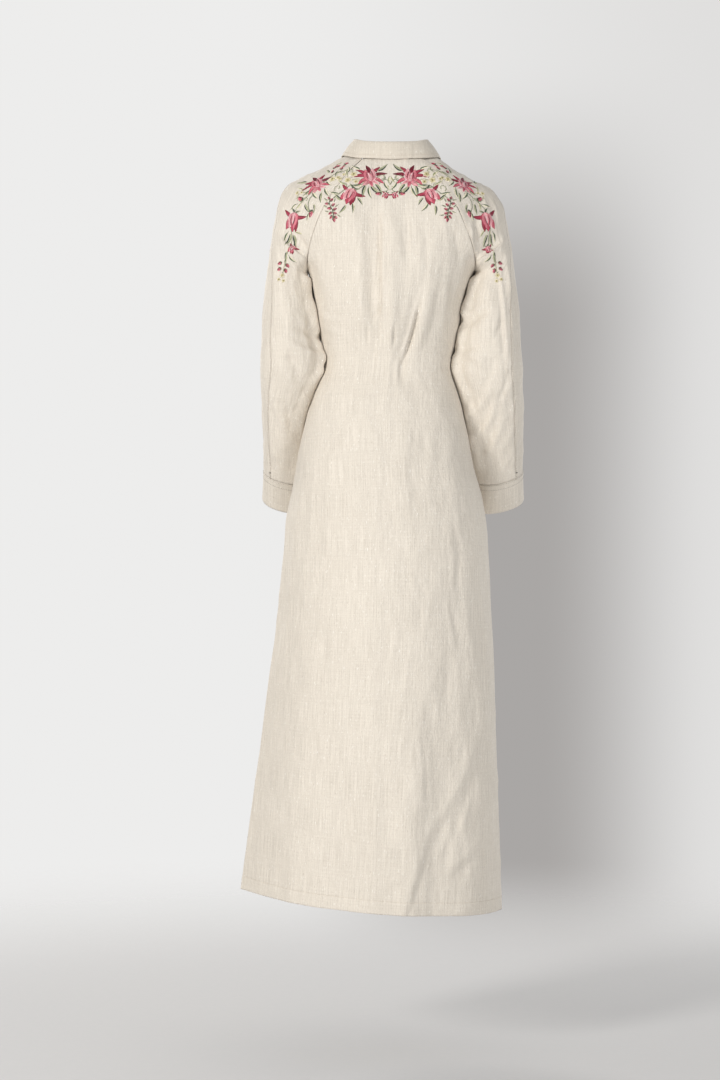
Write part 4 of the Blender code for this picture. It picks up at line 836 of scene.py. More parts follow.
def settle(points, side, arm=False):
    """The wearer's stance: a shoulder up, waist and skirt swayed, forearms moved, the hem tilted."""
    moved = np.array(points, float)
    x, z = np.abs(moved[..., 0]), moved[..., 2].copy()
    moved[..., 0] *= side
    high = ramp(x, *SHOULDER_OUT) * (1 - ramp(-z, *SHOULDER_DOWN))
    moved[..., 2] += side * SHOULDER_LEAN * high
    if arm:
        lower = ramp(-z, *FOREARM_DOWN)
        moved[..., 0] -= ARM_SWING * lower
        moved[..., 1] -= LEFT_ARM_FORWARD * lower * (side > 0)
    else:
        moved[..., 0] += smooth(torso["z"], torso["sway"], z)
        low = ramp(-z, *HEM_DOWN)
        moved[..., 2] += HEM_TILT * low * side * x / TORSO[-1][1]
    return moved


def seam_heading(v, y_sign):
    """The direction in which a body section meets the raglan seam, before it is laid on the surface."""
    heading = math.radians(at_station("heading", v))
    return np.array([math.cos(heading), -y_sign * math.sin(heading), 0.0])


def yoke_half_row(v, side, back):
    """Half of a body section above the underarm, from the middle to the raglan seam."""
    which, y_sign = ("bs", 1) if back else ("fs", -1)
    centre = "cb" if back else "cf"
    middle = np.array([0.0, at_station(centre + "_y", v), at_station(centre + "_z", v)])
    seam = seam_point(which, v)
    arriving = flatten(seam_heading(v, y_sign), seam_normal(which, v), 1 - at_station("crease", v))
    crease = at_station("crease", v)
    full = 1 + (TORSO[0][-1] - 1) * crease
    points = arc(middle, X_AXIS, seam, arriving, full)
    points[:, 0] -= SEAM_GAP * crease * np.linspace(0, 1, DENSE)
    return settle(points, side)


def torso_half_row(z, side, back):
    """Half of a body section below the underarm, from the middle to the side seam."""
    get = {name: float(smooth(torso["z"], torso[name], z)) for name in TORSO_COLUMNS}
    depth = get["back"] if back else -get["front"]
    angle = math.radians(get["left" if side > 0 else "right"])
    arriving = np.array([math.cos(angle), -math.copysign(math.sin(angle), depth), 0.0])
    seam = np.array([get["half_width"], 0, z])
    points = arc(np.array([0, depth, z]), X_AXIS, seam, arriving, get["full"])
    return settle(points, side)


# -------- sleeves
def tube_frame(z):
    """Middle, outward and backward directions and half sizes of a sleeve section below the underarm."""
    get = {name: float(smooth(sleeve["z"], sleeve[name], z)) for name in SLEEVE_COLUMNS}
    lean, roll = math.radians(get["lean"]), math.radians(get["roll"])
    outward = np.array([math.cos(roll), 0.0, math.sin(roll)])
    backward = np.array([0.0, math.cos(lean), -math.sin(lean)])
    backward = unit(backward - np.dot(backward, outward) * outward)
    return get, outward, backward


def tube_row(z, side):
    """One closed sleeve section, from the underarm seam round the back and the front to it again."""
    get, outward, backward = tube_frame(z)
    sway = float(smooth(torso["z"], torso["sway"], z)) * side * (1 - ramp(-z, *SWAY_DOWN))
    inner = np.array([get["inner"] + sway, get["y"], z])
    inner[2] -= outward[2] * (get["outer"] - get["inner"]) / 2
    outer = np.array([get["outer"], get["y"], z])
    outer[2] += outward[2] * (get["outer"] - get["inner"]) / 2
    half = np.linalg.norm(outer - inner) / 2
    back = arc(inner, backward, outer, -backward, get["back"] / half)
    front = arc(outer, -backward, inner, backward, get["front"] / half)
    return settle(np.concatenate([back, front[1:]]), side, True)


def raglan_row(v, side):
    """One open sleeve section above the underarm, from the back raglan seam to the front one."""
    ridge, crease = seam_point("rg", v), at_station("crease", v)
    halves = []
    for which, y_sign in (("bs", 1), ("fs", -1)):
        seam, normal = seam_point(which, v), seam_normal(which, v)
        leaving = seam_heading(v, y_sign) * (1 - crease) + Y_AXIS * y_sign * crease
        leaving = flatten(leaving, normal, 1 - crease)
        arriving = -Y_AXIS * y_sign
        reach = round_reach(seam, leaving, ridge, arriving)
        hollow = max(TUBE_REACH - abs(seam[1]), LEAST_REACH)
        reach_out = reach + (hollow - reach) * crease
        reach_in = reach + (TUBE_REACH - reach) * ramp(v, *CAP_ROUND)
        halves.append(cubic(seam, leaving, ridge, arriving, reach_out, reach_in))
    points = np.concatenate([halves[0], halves[1][::-1][1:]])
    points[:, 0] += SEAM_GAP * crease
    return settle(points, side, True)


# -------- cuffs
def cuff_rings(side):
    """Closed rings of one cuff, top to bottom, carried on along the sleeve's own run."""
    top = tube_row(SLEEVE[-1][0], side)
    length = along(top)[-1]
    ring = resample(top, np.linspace(0, length, CUFF_AROUND + 1)[:-1])
    _, outward, backward = tube_frame(SLEEVE[-1][0])
    down = unit(np.cross(outward, backward)) * (side, 1, 1)
    down = down if down[2] < 0 else -down
    down = unit(down * (0, 1, 1))
    centre = ring.mean(axis=0)
    rings = []
    for t in np.linspace(0, 1, CUFF_ROWS):
        outer_side = ramp((ring[:, 0] - centre[0]) * side, *FLARE_OUT)
        flare = np.outer(outer_side, (side, 0, 0)) * CUFF_FLARE * t
        rings.append(ring + down * (SEAM_GAP + CUFF_DEEP * t) + flare)
    return np.array(rings)


# -------- collar
def yoke_ring(v):
    """A section all round the yoke, from the middle of the front over the left side and the back."""
    halves = []
    for side in (1, -1):
        back, front = yoke_half_row(v, side, True), yoke_half_row(v, side, False)
        halves.append(np.concatenate([front, raglan_row(v, side)[::-1][1:], back[::-1][1:]]))
    return np.concatenate([halves[0], halves[1][::-1][1:]])


def ring_points(v, places):
    """Points of a yoke section at places, each quarter of it counting alike: 0 and 1 are its front."""
    line = yoke_ring(v)
    index = (np.asarray(places) % 1) * (len(line) - 1)
    return read_at(index, np.arange(len(line)), line)


def outward_and_up(line):
    """Level directions away from the neck, and directions square to them and to the line."""
    run = unit(np.gradient(line, axis=0))
    outward = unit(np.stack([-run[:, 1], run[:, 0], np.zeros(len(line))], axis=1))
    outward *= np.sign(((line - NECK_MIDDLE) * outward).sum(axis=1))[:, None]
    rise = np.cross(run, outward)
    return outward, unit(rise * np.sign(rise[:, 2])[:, None])


def stand_rows(start, end):
    """The stand's foot and top edge from one place on the neck seam to another, and those places."""
    places = np.linspace(start, end, COLLAR_ALONG + 1)
    seam = ring_points(0.0, places)
    outward, rise = outward_and_up(seam)
    rise = unit(rise + UP)
    over = outward * lap(places)[:, None]
    foot = seam + over + rise * SEAM_GAP * 2
    top = foot + rise * of_collar("stand", places)[:, None] - outward * STAND_LEAN
    return foot, top, places


def lap(places):
    """How far the right end of the collar stands out, to lie over the left one."""
    return (COLLAR_CLOTH + SEAM_GAP) * ramp(places, *LAP_PLACES)


def of_collar(name, places):
    """One of the collar's sizes at places round the neck."""
    return smooth(collar["at"], collar[name], np.minimum(np.abs(places * 2 - 1), 1))


# ======== panels as fine grids
class Cloth:
    """One panel: a grid of points, their outward normals and their places on the flat cloth."""

    def __init__(self, grid, normals, flat=None):
        self.grid = grid
        self.normals = normals
        self.flat = flat_places(grid) if flat is None else flat


def flat_places(grid):
    """Each point's place on the flat cloth: along its row from the grain line, and down that line."""
    middle = grid.shape[1] // 2
    across = np.zeros(grid.shape[:2])
    across[:, 1:] = np.cumsum(np.linalg.norm(np.diff(grid, axis=1), axis=2), axis=1)
    across -= across[:, middle:middle + 1]
    down = np.tile(along(grid[:, middle])[:, None], (1, grid.shape[1]))
    return np.stack([across, down], axis=2)


def half_spaced(length, count):
    """Distances along half a row: even from the middle, then closer towards the sewn edge."""
    edge = np.array(EDGE_STEPS)
    return np.concatenate([np.linspace(0, length - edge[-1], count + 1), length - edge[-2::-1]])


def both_spaced(length, count):
    """Distances along a row with a sewn edge at either end."""
    edge = np.array(EDGE_STEPS)
    inner = np.linspace(edge[-1], length - edge[-1], count + 1)
    return np.concatenate([edge[:-1], inner, length - edge[-2::-1]])


def torso_heights():
    """Heights of the rows below the underarm, closer at the hem."""
    hem = TORSO[-1][0]
    even = np.arange(UNDERARM_Z - SKIRT_STEP, hem + HEM_STEPS[0] + SKIRT_STEP / 2, -SKIRT_STEP)
    return np.concatenate([even, hem + np.array(HEM_STEPS)])


def eased(grid):
    """The grid relaxed down its columns, so that the yoke runs into the skirt with no line across."""
    columns = np.arange(grid.shape[1])
    inside = ramp(np.minimum(columns, columns[::-1]), *EASE_COLUMNS)[None, :, None]
    heights = grid[1:-1, :, 2:3]
    weight = inside * ramp(UNDERARM_Z + EASE_REACH - heights, 0.0, EASE_REACH / 2)
    weight = weight * ramp(heights - UNDERARM_Z + EASE_REACH, 0.0, EASE_REACH / 2)
    for _ in range(EASE_ROUNDS):
        grid[1:-1] += (grid[:-2] + grid[2:] - 2 * grid[1:-1]) * weight / 4
    return grid


def body_grid(back):
    """Rows from the neck to the hem, columns from the wearer's right to their left."""
    rows = []
    for make, stations in ((yoke_half_row, SEAM_V), (torso_half_row, torso_heights())):
        for station in stations:
            halves = []
            for side in (-1, 1):
                dense = make(station, side, back)
                halves.append(resample(dense, half_spaced(along(dense)[-1], BODY_ACROSS)))
            rows.append(np.concatenate([halves[0][::-1], halves[1][1:]]))
    return eased(np.array(rows))


def body_cloth(back):
    """The front or the back with its largest folds."""
    grid = body_grid(back)
    outside = np.array([0.0, 1.0 if back else -1.0, 0.0])
    folds = fold_height(grid[..., 0], grid[..., 2], BACK_FOLDS if back else FRONT_FOLDS)
    share = np.linspace(0, 1, grid.shape[1])
    inside_seams = ramp(np.minimum(share, 1 - share), 0, FOLD_CLEAR_SHARE)
    grid = grid + grid_normals(grid, outside) * (folds * inside_seams)[..., None]
    normals = grid_normals(grid, outside)
    which = "bs" if back else "fs"
    for column, side in ((0, -1), (-1, 1)):
        for row, v in enumerate(SEAM_V[:-1]):
            normals[row, column] = seam_normal(which, v) * (side, 1, 1)
        normals[YOKE_DOWN - 1, column] = UNDERARM_NORMAL
        normals[YOKE_DOWN:, column] = unit(normals[YOKE_DOWN:, column] * (1, 0, 1))
    return Cloth(grid, normals)


def sleeve_heights():
    """Heights of a sleeve's rows below the underarm."""
    count = round((UNDERARM_Z - SLEEVE[-1][0]) / SLEEVE_STEP)
    return np.linspace(UNDERARM_Z, SLEEVE[-1][0], count + 1)[1:]


def sleeve_cloths(side):
    """The back and front halves of one sleeve."""
    sections = [raglan_row(v, side) for v in SEAM_V] + [tube_row(z, side) for z in sleeve_heights()]
    split = [at_station("overarm", v) for v in SEAM_V] + [OVERARM_SHARE] * len(sleeve_heights())
    halves = {"back": [], "front": []}
    for dense, share in zip(sections, split):
        length = along(dense)[-1]
        cut = share * length
        halves["back"].append(resample(dense, both_spaced(cut, SLEEVE_BACK_ACROSS)))
        halves["front"].append(resample(dense, cut + both_spaced(length - cut, SLEEVE_FRONT_ACROSS)))
    whole = np.concatenate([np.array(halves["back"]), np.array(halves["front"])[:, 1:]], axis=1)
    normals = grid_normals(whole, whole - whole.mean(axis=1, keepdims=True))
    for row, v in enumerate(SEAM_V[:-1]):
        normals[row, 0] = seam_normal("bs", v) * (side, 1, 1)
        normals[row, -1] = seam_normal("fs", v) * (side, 1, 1)
    normals[YOKE_DOWN - 1, (0, -1)] = UNDERARM_NORMAL
    shared = unit(normals[YOKE_DOWN:, 0] + normals[YOKE_DOWN:, -1])
    normals[YOKE_DOWN:, 0] = normals[YOKE_DOWN:, -1] = shared
    cut = len(halves["back"][0]) - 1
    return {"back": Cloth(whole[:, :cut + 1], normals[:, :cut + 1]),
            "front": Cloth(whole[:, cut:], normals[:, cut:])}


def nestle_clear(z, facing, side):
    """How far off the body the sleeve lies at that height: its notches open only towards the back."""
    notches = (deep * math.exp(-((z / MM - at) / half)**2) for at, half, deep in NESTLE_NOTCHES[side])
    return NESTLE_CLEAR + sum(notches) * MM * ramp(facing, *NESTLE_OPEN)


def nestle(cloth, side, body):
    """Lays the inner side of a hanging sleeve against the body, a little off it."""
    inward = Vector((-side, 0.0, 0.0))
    for row in range(YOKE_DOWN, len(cloth.grid)):
        for column, (point, normal) in enumerate(zip(cloth.grid[row], cloth.normals[row])):
            start = Vector(point) - inward * NESTLE_BACK
            hit, _, _, distance = body.tree.ray_cast(start, inward, NESTLE_REACH)
            if hit is None or normal[0] * side > 0:
                continue
            gap = distance - NESTLE_BACK
            share = (1 - ramp(gap, *NESTLE_GAPS)) * ramp(-normal[0] * side, *NESTLE_FACING)
            share *= ramp(UNDERARM_Z - point[2], *NESTLE_DOWN)
            cloth.grid[row, column, 0] -= side * (gap - nestle_clear(point[2], normal[1], side)) * share
    inner = grid_normals(cloth.grid, cloth.normals)[:, 1:-1]
    cloth.normals[:, 1:-1] = inner


# ======== creases, seams and hems on the grids
def crease_height(points, normals, seen, row):
    """How far one crease moves each point out."""
    crease = dict(zip(CREASE_COLUMNS, np.array(row) * MM))
    axis, towards = VIEWS[seen]
    run = np.array([crease["a1"] - crease["a0"], crease["z1"] - crease["z0"]])
    length = np.linalg.norm(run)
    run /= length
    a, z = points[..., axis] - crease["a0"], points[..., 2] - crease["z0"]
    share = (a * run[0] + z * run[1]) / length
    bow = crease["bow"] * 4 * share * (1 - share)
    first, last = CREASE_ENDS_STRAIGHT
    off = (-a * run[1] + z * run[0]) - bow * ramp(share, 0, first) * (1 - ramp(share, last, 1))
    fading = 1.0 if crease["z1"] <= TORSO[-1][0] else 1 - ramp(share, *CREASE_FADE)
    ends = ramp(share, *CREASE_RISE) * fading
    facing = ramp(normals @ np.array(towards, float), *FACING)
    ridge = crease["high"] * np.exp(-np.abs(off / crease["half"])**CREASE_CREST)
    side = math.copysign(TROUGH_OFF, crease["beside"])
    trough = np.exp(-np.abs((off / crease["half"] - side) / TROUGH_WIDER)**CREASE_CREST)
    return (ridge - abs(crease["beside"]) * trough) * ends * facing


def crumple(points, size, seed):
    """Soft uneven wrinkles, from -1 to 1, of that size across, round and down."""
    scaled = points.reshape(-1, 3) / np.array(size) + seed
    heights = [noise.noise(Vector(p)) for p in scaled]
    return np.array(heights).reshape(points.shape[:-1])


def seam_relief(distance):
    """The cloth's edge rolled into its seam, and the welt of the turned allowance beside it."""
    rolled = -SEAM_ROLL * (1 - ramp(distance, 0, SEAM_ROLL_WIDE))
    welt = SEAM_WELT * ramp(distance, 0, SEAM_ROLL_WIDE) * (1 - ramp(distance, *SEAM_WELT_WIDE))
    return rolled + welt


def hem_relief(distance, along_hem):
    """The hem's turn-up: a fuller edge, pulled in a little along the stitches that hold it."""
    fuller = HEM_FULL * (1 - ramp(distance, HEM_DEEP - HEM_PULL_WIDE, HEM_DEEP + HEM_PULL_WIDE))
    pulled = -HEM_PULL * np.exp(-((distance - HEM_DEEP) / HEM_PULL_WIDE)**2)
    pucker = np.sin(along_hem * 2 * math.pi / PUCKER_PITCH + 2 * np.sin(along_hem * PUCKER_UNEVEN))
    return fuller + pulled * (1 + PUCKER_SHARE * pucker)


def drape(cloth, on, hemmed=False):
    """Moves a panel's points out and in by its creases, wrinkles, seams and hem."""
    points, normals = cloth.grid, cloth.normals
    height = np.zeros(points.shape[:2])
    kind = "body" if on == "body" else "sleeve"
    for seen, row in ((seen, row) for (part, seen), rows in CREASES.items() if part == on for row in rows):
        height += CREASE_GAIN[kind] * crease_height(points, normals, seen, row)
    for size, amount, seed, sharp in WRINKLES[kind]:
        wave = crumple(points, size, seed)
        height += amount * (CREST_MIDDLE - CREST_FALL * np.abs(wave) if sharp else wave)
    if on != "body":
        height *= ramp(points[..., 2], *SLEEVE_CALM_Z)
    run = cloth.flat[..., 0]
    height += seam_relief(run - run[:, :1])
    height += seam_relief(run[:, -1:] - run)
    if hemmed:
        height += hem_relief(cloth.flat[-1:, :, 1] - cloth.flat[..., 1], run)
    cloth.grid = points + normals * height[..., None]
    moved = grid_normals(cloth.grid, normals)
    moved[:, (0, -1)] = normals[:, (0, -1)]
    cloth.normals = moved
    return cloth


# ======== meshes
def new_object(name, data, material=None):
    """An object of that mesh, light or camera, in the scene."""
    made = bpy.data.objects.new(name, data)
    bpy.context.scene.collection.objects.link(made)
    if material:
        data.materials.append(material)
    return made


def mesh_of(made, name):
    """A mesh from one under construction."""
    mesh = bpy.data.meshes.new(name)
    made.to_mesh(mesh)
    made.free()
    return mesh


def grid_faces(rows, columns, closed=False):
    """The quads of a grid, or of one whose last column meets its first."""
    faces = []
    for r in range(rows - 1):
        for c in range(columns if closed else columns - 1):
            n = (c + 1) % columns
            faces.append((r * columns + c, r * columns + n, (r + 1) * columns + n, (r + 1) * columns + c))
    return faces


def cloth_object(name, cloth, wall, material, closed=False):
    """A thin shell from a panel's grid, with its wall towards the inside and its flat places as UVs."""
    rows, columns = cloth.grid.shape[:2]
    faces = np.array(grid_faces(rows, columns, closed))
    points = cloth.grid.reshape(-1, 3) - NAPE
    a, b, c = (points[faces[:, k]] for k in (0, 1, 2))
    if (np.cross(b - a, c - b) * cloth.normals.reshape(-1, 3)[faces[:, 0]]).sum() < 0:
        faces = faces[:, ::-1]
    mesh = bpy.data.meshes.new(name)
    mesh.from_pydata(points.tolist(), [], faces.tolist())
    weave = mesh.uv_layers.new(name="weave")
    corners = np.empty(len(mesh.loops), int)
    mesh.loops.foreach_get("vertex_index", corners)
    weave.data.foreach_set("uv", cloth.flat.reshape(-1, 2)[corners].ravel())
    mesh.shade_smooth()
    made = new_object(name, mesh, material)
    shell = made.modifiers.new("wall", "SOLIDIFY")
    shell.thickness = wall
    shell.offset = -1.0
    return made


def sewn_piece(piece, node):
    """Hides the solid part that a piece stands for, and fixes the piece to the garment."""
    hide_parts(node)
    return added_piece(piece)


def added_piece(piece):
    """Fixes a piece to the garment."""
    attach(piece, "root")
    return piece


class Net:
    """Points of a panel's surface found by rays, for what is sewn on it."""

    def __init__(self, *cloths):
        points, faces = [], []
        for cloth in cloths:
            base = len(points)
            rows, columns = cloth.grid.shape[:2]
            points.extend(cloth.grid.reshape(-1, 3).tolist())
            faces.extend([tuple(base + i for i in face) for face in grid_faces(rows, columns)])
        self.tree = BVHTree.FromPolygons(points, faces)

    def below(self, point, normal, reach):
        """The surface under a point, looking along the inward direction, and its outward normal."""
        start = Vector(point) + Vector(normal) * reach
        hit, facing, _, _ = self.tree.ray_cast(start, -Vector(normal), 2 * reach)
        if hit is None:
            hit, facing, _, _ = self.tree.find_nearest(Vector(point))
        facing = np.array(facing)
        return np.array(hit), facing if facing @ np.asarray(normal) > 0 else -facing


# ======== cuffs, collar, placket and buttons
def cuff_cloth(side):
    """One cuff as closed rings; its lower edge is turned and its two layers are a little full."""
    rings = cuff_rings(side)
    middle = rings - rings.mean(axis=(0, 1))
    normals = grid_normals(rings, middle, closed=True)
    lengths = np.linalg.norm(np.diff(rings, axis=1, append=rings[:, :1]), axis=2)
    across = np.concatenate([np.zeros((CUFF_ROWS, 1)), np.cumsum(lengths, axis=1)[:, :-1]], axis=1)
    down = np.tile(np.linspace(0, CUFF_DEEP, CUFF_ROWS)[:, None], (1, CUFF_AROUND))
    height = CUFF_WAVE * crumple(rings, CUFF_WAVE_SIZE, CUFF_WAVE_SEED + side)
    height += seam_relief(down) + seam_relief(CUFF_DEEP - down)
    return Cloth(rings + normals * height[..., None], normals, np.stack([across, down], axis=2))


def finer_rows(grid, count):
    """The same sheet with count rows, on smooth curves through its own."""
    run = np.linalg.norm(np.diff(grid, axis=0), axis=2).mean(axis=1)
    at = np.concatenate([[0.0], np.cumsum(run)])
    at = at / at[-1]
    places = np.linspace(0, 1, count)
    flat = grid.reshape(len(grid), -1)
    columns = [smooth(at, flat[:, k], places) for k in range(flat.shape[1])]
    return np.stack(columns, axis=1).reshape(count, *grid.shape[1:])


def stand_cloth():
    """The collar stand, its right end lapped over the left one and rounded off."""
    foot, top, places = stand_rows(STAND_START, 1 + STAND_LAP)
    foot = foot - unit(top - foot) * STAND_TUCK
    shares = ramp(places, 1 + STAND_LAP - STAND_ROUND, 1 + STAND_LAP)
    top = foot + (top - foot) * (1 - (1 - STAND_END) * shares)[:, None]
    grid = finer_rows(np.array([foot, (foot + top) / 2, top]), STAND_ROWS)
    normals = np.array([outward_and_up(row)[0] for row in grid])
    return Cloth(grid, normals)


def leaf_edge(places):
    """Points on the body under the leaf's lower edge, moved out to clear it."""
    stations = of_collar("station", places)
    places = 0.5 + np.sign(places - 0.5) * of_collar("place", places) / 2
    edge = []
    for v, place in zip(stations, places):
        around = place + np.array([-NEARBY, 0, NEARBY])
        near, far = (ring_points(v + dv, around) for dv in (-NEARBY, NEARBY))
        middle = (near[1] + far[1]) / 2
        normal = unit(np.cross(near[2] - near[0], far[1] - near[1]))
        normal *= np.sign(np.dot(normal, middle - NECK_MIDDLE + UP * SHOULDER_OUT[1]))
        edge.append(middle + normal * (COLLAR_CLOTH + LEAF_CLEAR))
    return np.array(edge)


def leaf_cloth():
    """The collar's leaf: over the stand's top edge, then down and out until it lies on the body."""
    _, top, places = stand_rows(LEAF_START, 1 - LEAF_START)
    outward, rise = outward_and_up(top)
    top = top + outward * (lap(1 - places) * (places < 0.5))[:, None]
    rows = [top + outward * out + rise * up for out, up in LEAF_FOLD]
    start, edge = rows[-1], leaf_edge(places)
    for t in LEAF_LAID:
        rows.append(start + (edge - start) * t + outward * LEAF_BOW * math.sin(math.pi * t))
    grid = finer_rows(np.array(rows), LEAF_ROWS)
    normals = grid_normals(grid, grid - NECK_MIDDLE)
    cloth = Cloth(grid, normals)
    down = cloth.flat[-1:, :, 1] - cloth.flat[..., 1]
    height = LEAF_WAVE * crumple(grid, LEAF_WAVE_SIZE, LEAF_WAVE_SEED)
    height += LEAF_EDGE_FULL * (1 - ramp(down, LEAF_STITCH - LEAF_EDGE_SOFT, LEAF_STITCH + LEAF_EDGE_SOFT))
    for x, deep, wide in LEAF_PUCKERS:
        height -= deep * np.exp(-((grid[..., 0] - x) / wide)**2) * (grid[..., 1] > 0)
    cloth.grid = grid + normals * (height * ramp(np.arange(LEAF_ROWS), 0, LEAF_ROWS / 3)[:, None])[..., None]
    cloth.normals = grid_normals(cloth.grid, cloth.grid - NECK_MIDDLE)
    return cloth


def strip_cloth(front):
    """The placket: a strip on the front's middle, made from the front's own points moved out."""
    distances = np.linspace(-PLACKET_WIDE / 2, PLACKET_WIDE / 2, STRIP_ACROSS)
    middle = front.grid.shape[1] // 2
    rows = [r for r in range(len(front.grid)) if front.grid[r, middle, 2] > PLACKET_END_Z]
    grid, normals = [], []
    for r in rows:
        run = front.flat[r, :, 0]
        grid.append(read_at(distances, run, front.grid[r]))
        normals.append(unit(read_at(distances, run, front.normals[r])))
    grid, normals = np.array(grid), np.array(normals)
    grid[0] += unit(grid[1] - grid[0]) * PLACKET_BELOW_NECK
    raised = grid + normals * (CLOTH + SEAM_GAP)
    edge = PLACKET_WIDE / 2 - np.abs(np.tile(distances, (len(rows), 1)))
    return Cloth(raised + normals * (seam_relief(edge) * STRIP_RELIEF)[..., None], normals)


def button_points(line, stand):
    """Each button's name, middle, outward normal and the way its buttonhole runs, from the collar's down."""
    middle = np.abs(stand.grid[STAND_ROWS // 2, -STAND_LAP_REACH:, 0]).argmin() - STAND_LAP_REACH
    places = [("button_collar", stand.grid[STAND_ROWS // 2, middle], -Y_AXIS, X_AXIS)]
    run = along(line)
    for i, distance in enumerate(np.linspace(FIRST_BUTTON, run[-1] - LAST_BUTTON, BUTTON_COUNT)):
        ends = resample(line, [distance - BUTTON_RADIUS, distance + BUTTON_RADIUS])
        normal = unit(np.cross(ends[1] - ends[0], X_AXIS))
        down = unit(ends[1] - ends[0])
        places.append((f"button_{i + 1}", ends.mean(axis=0), normal * -np.sign(normal[1]), down))
    return places


def turned_button():
    """A button's body on the level: a rounded rim and a dished middle, turned from its section."""
    made = bmesh.new()
    rings = []
    for radius, z in BUTTON_PROFILE:
        ring = []
        for i in range(BUTTON_ROUND):
            turn = 2 * math.pi * i / BUTTON_ROUND
            x, y = (radius * BUTTON_RADIUS * part for part in (math.cos(turn), math.sin(turn)))
            ring.append(made.verts.new((x, y, z * BUTTON_THICK / 2)))
        rings.append(ring)
    for lower, upper in zip(rings, rings[1:]):
        for i in range(BUTTON_ROUND):
            n = (i + 1) % BUTTON_ROUND
            made.faces.new((lower[i], lower[n], upper[n], upper[i]))
    made.faces.new(rings[0][::-1])
    made.faces.new(rings[-1])
    return made


def button_object(name, centre, normal, material):
    """A turned button with four holes right through, a little off the cloth."""
    made = turned_button()
    tilt = Vector((0, 0, 1)).rotation_difference(Vector(normal)).to_matrix().to_4x4()
    middle = centre - NAPE + normal * (BUTTON_THICK / 2 + BUTTON_CLEAR)
    place = Matrix.Translation(Vector(middle)) @ tilt
    bmesh.ops.transform(made, matrix=place, verts=made.verts)
    bmesh.ops.recalc_face_normals(made, faces=made.faces)
    button = new_object(name, mesh_of(made, name), material)
    drill_holes(button, place)
    button.data.shade_smooth()
    button.data.set_sharp_from_angle(angle=BUTTON_SHARP)
    return button


def drill_holes(button, place):
    """Cuts the four holes with one joined cutter."""
    cutter = bmesh.new()
    for x in (-1, 1):
        for y in (-1, 1):
            offset = Matrix.Translation((x * HOLE_OFF, y * HOLE_OFF, 0))
            bmesh.ops.create_cone(cutter, cap_ends=True, segments=HOLE_ROUND, radius1=HOLE_RADIUS,
                                  radius2=HOLE_RADIUS, depth=BUTTON_THICK * 4, matrix=place @ offset)
    holes = new_object("holes", mesh_of(cutter, "holes"))
    cut = button.modifiers.new("holes", "BOOLEAN")
    cut.operation = "DIFFERENCE"
    cut.solver = "EXACT"
    cut.object = holes
    button.data = plain_mesh(button)
    button.modifiers.clear()
    bpy.data.objects.remove(holes)


def plain_mesh(made):
    """The object's mesh as its modifiers leave it."""
    bpy.context.view_layer.update()
    graph = bpy.context.evaluated_depsgraph_get()
    return bpy.data.meshes.new_from_object(made.evaluated_get(graph))


# ======== node groups
class Nodes:
    """A node group under construction: one call adds a node and joins it up."""

    def __init__(self, group):
        self.group = group

    def node(self, kind, settings=(), **inputs):
        """A node; its inputs, by name or place (s0, s1), are values or other nodes' output sockets."""
        made = self.group.nodes.new(kind)
        for name, value in dict(settings).items():
            setattr(made, name, value)
        for name, value in inputs.items():
            place = int(name[1:]) if name[1:].isdigit() else name.replace("_", " ")
            self.join(made.inputs[place], value)
        return made

    def out(self, kind, settings=(), **inputs):
        """The first output of such a node."""
        return self.node(kind, settings, **inputs).outputs[0]

    def join(self, socket, value):
        """Gives an input socket its value or its link."""
        if isinstance(value, bpy.types.NodeSocket):
            self.group.links.new(value, socket)
        else:
            socket.default_value = value


# ======== sewing, made by Geometry Nodes
class Tree(Nodes):
    """A Geometry Nodes group, with named inputs."""

    def __init__(self, name, inputs):
        super().__init__(bpy.data.node_groups.new(name, "GeometryNodeTree"))
        sockets = self.group.interface
        sockets.new_socket(name="Geometry", in_out="INPUT", socket_type="NodeSocketGeometry")
        self.keys = {}
        for label, kind in inputs:
            made = sockets.new_socket(name=label, in_out="INPUT", socket_type=f"NodeSocket{kind}")
            self.keys[label] = made.identifier
        sockets.new_socket(name="Geometry", in_out="OUTPUT", socket_type="NodeSocketGeometry")
        self.start = self.group.nodes.new("NodeGroupInput").outputs

    def finish(self, geometry):
        """Ends the tree: everything made real, smooth and given its finish."""
        real = self.out("GeometryNodeRealizeInstances", Geometry=geometry)
        rounded = self.out("GeometryNodeSetShadeSmooth", Geometry=real)
        done = self.out("GeometryNodeSetMaterial", Geometry=rounded, Material=self.start["Finish"])
        end = self.group.nodes.new("NodeGroupOutput")
        self.join(end.inputs[0], done)
        return self


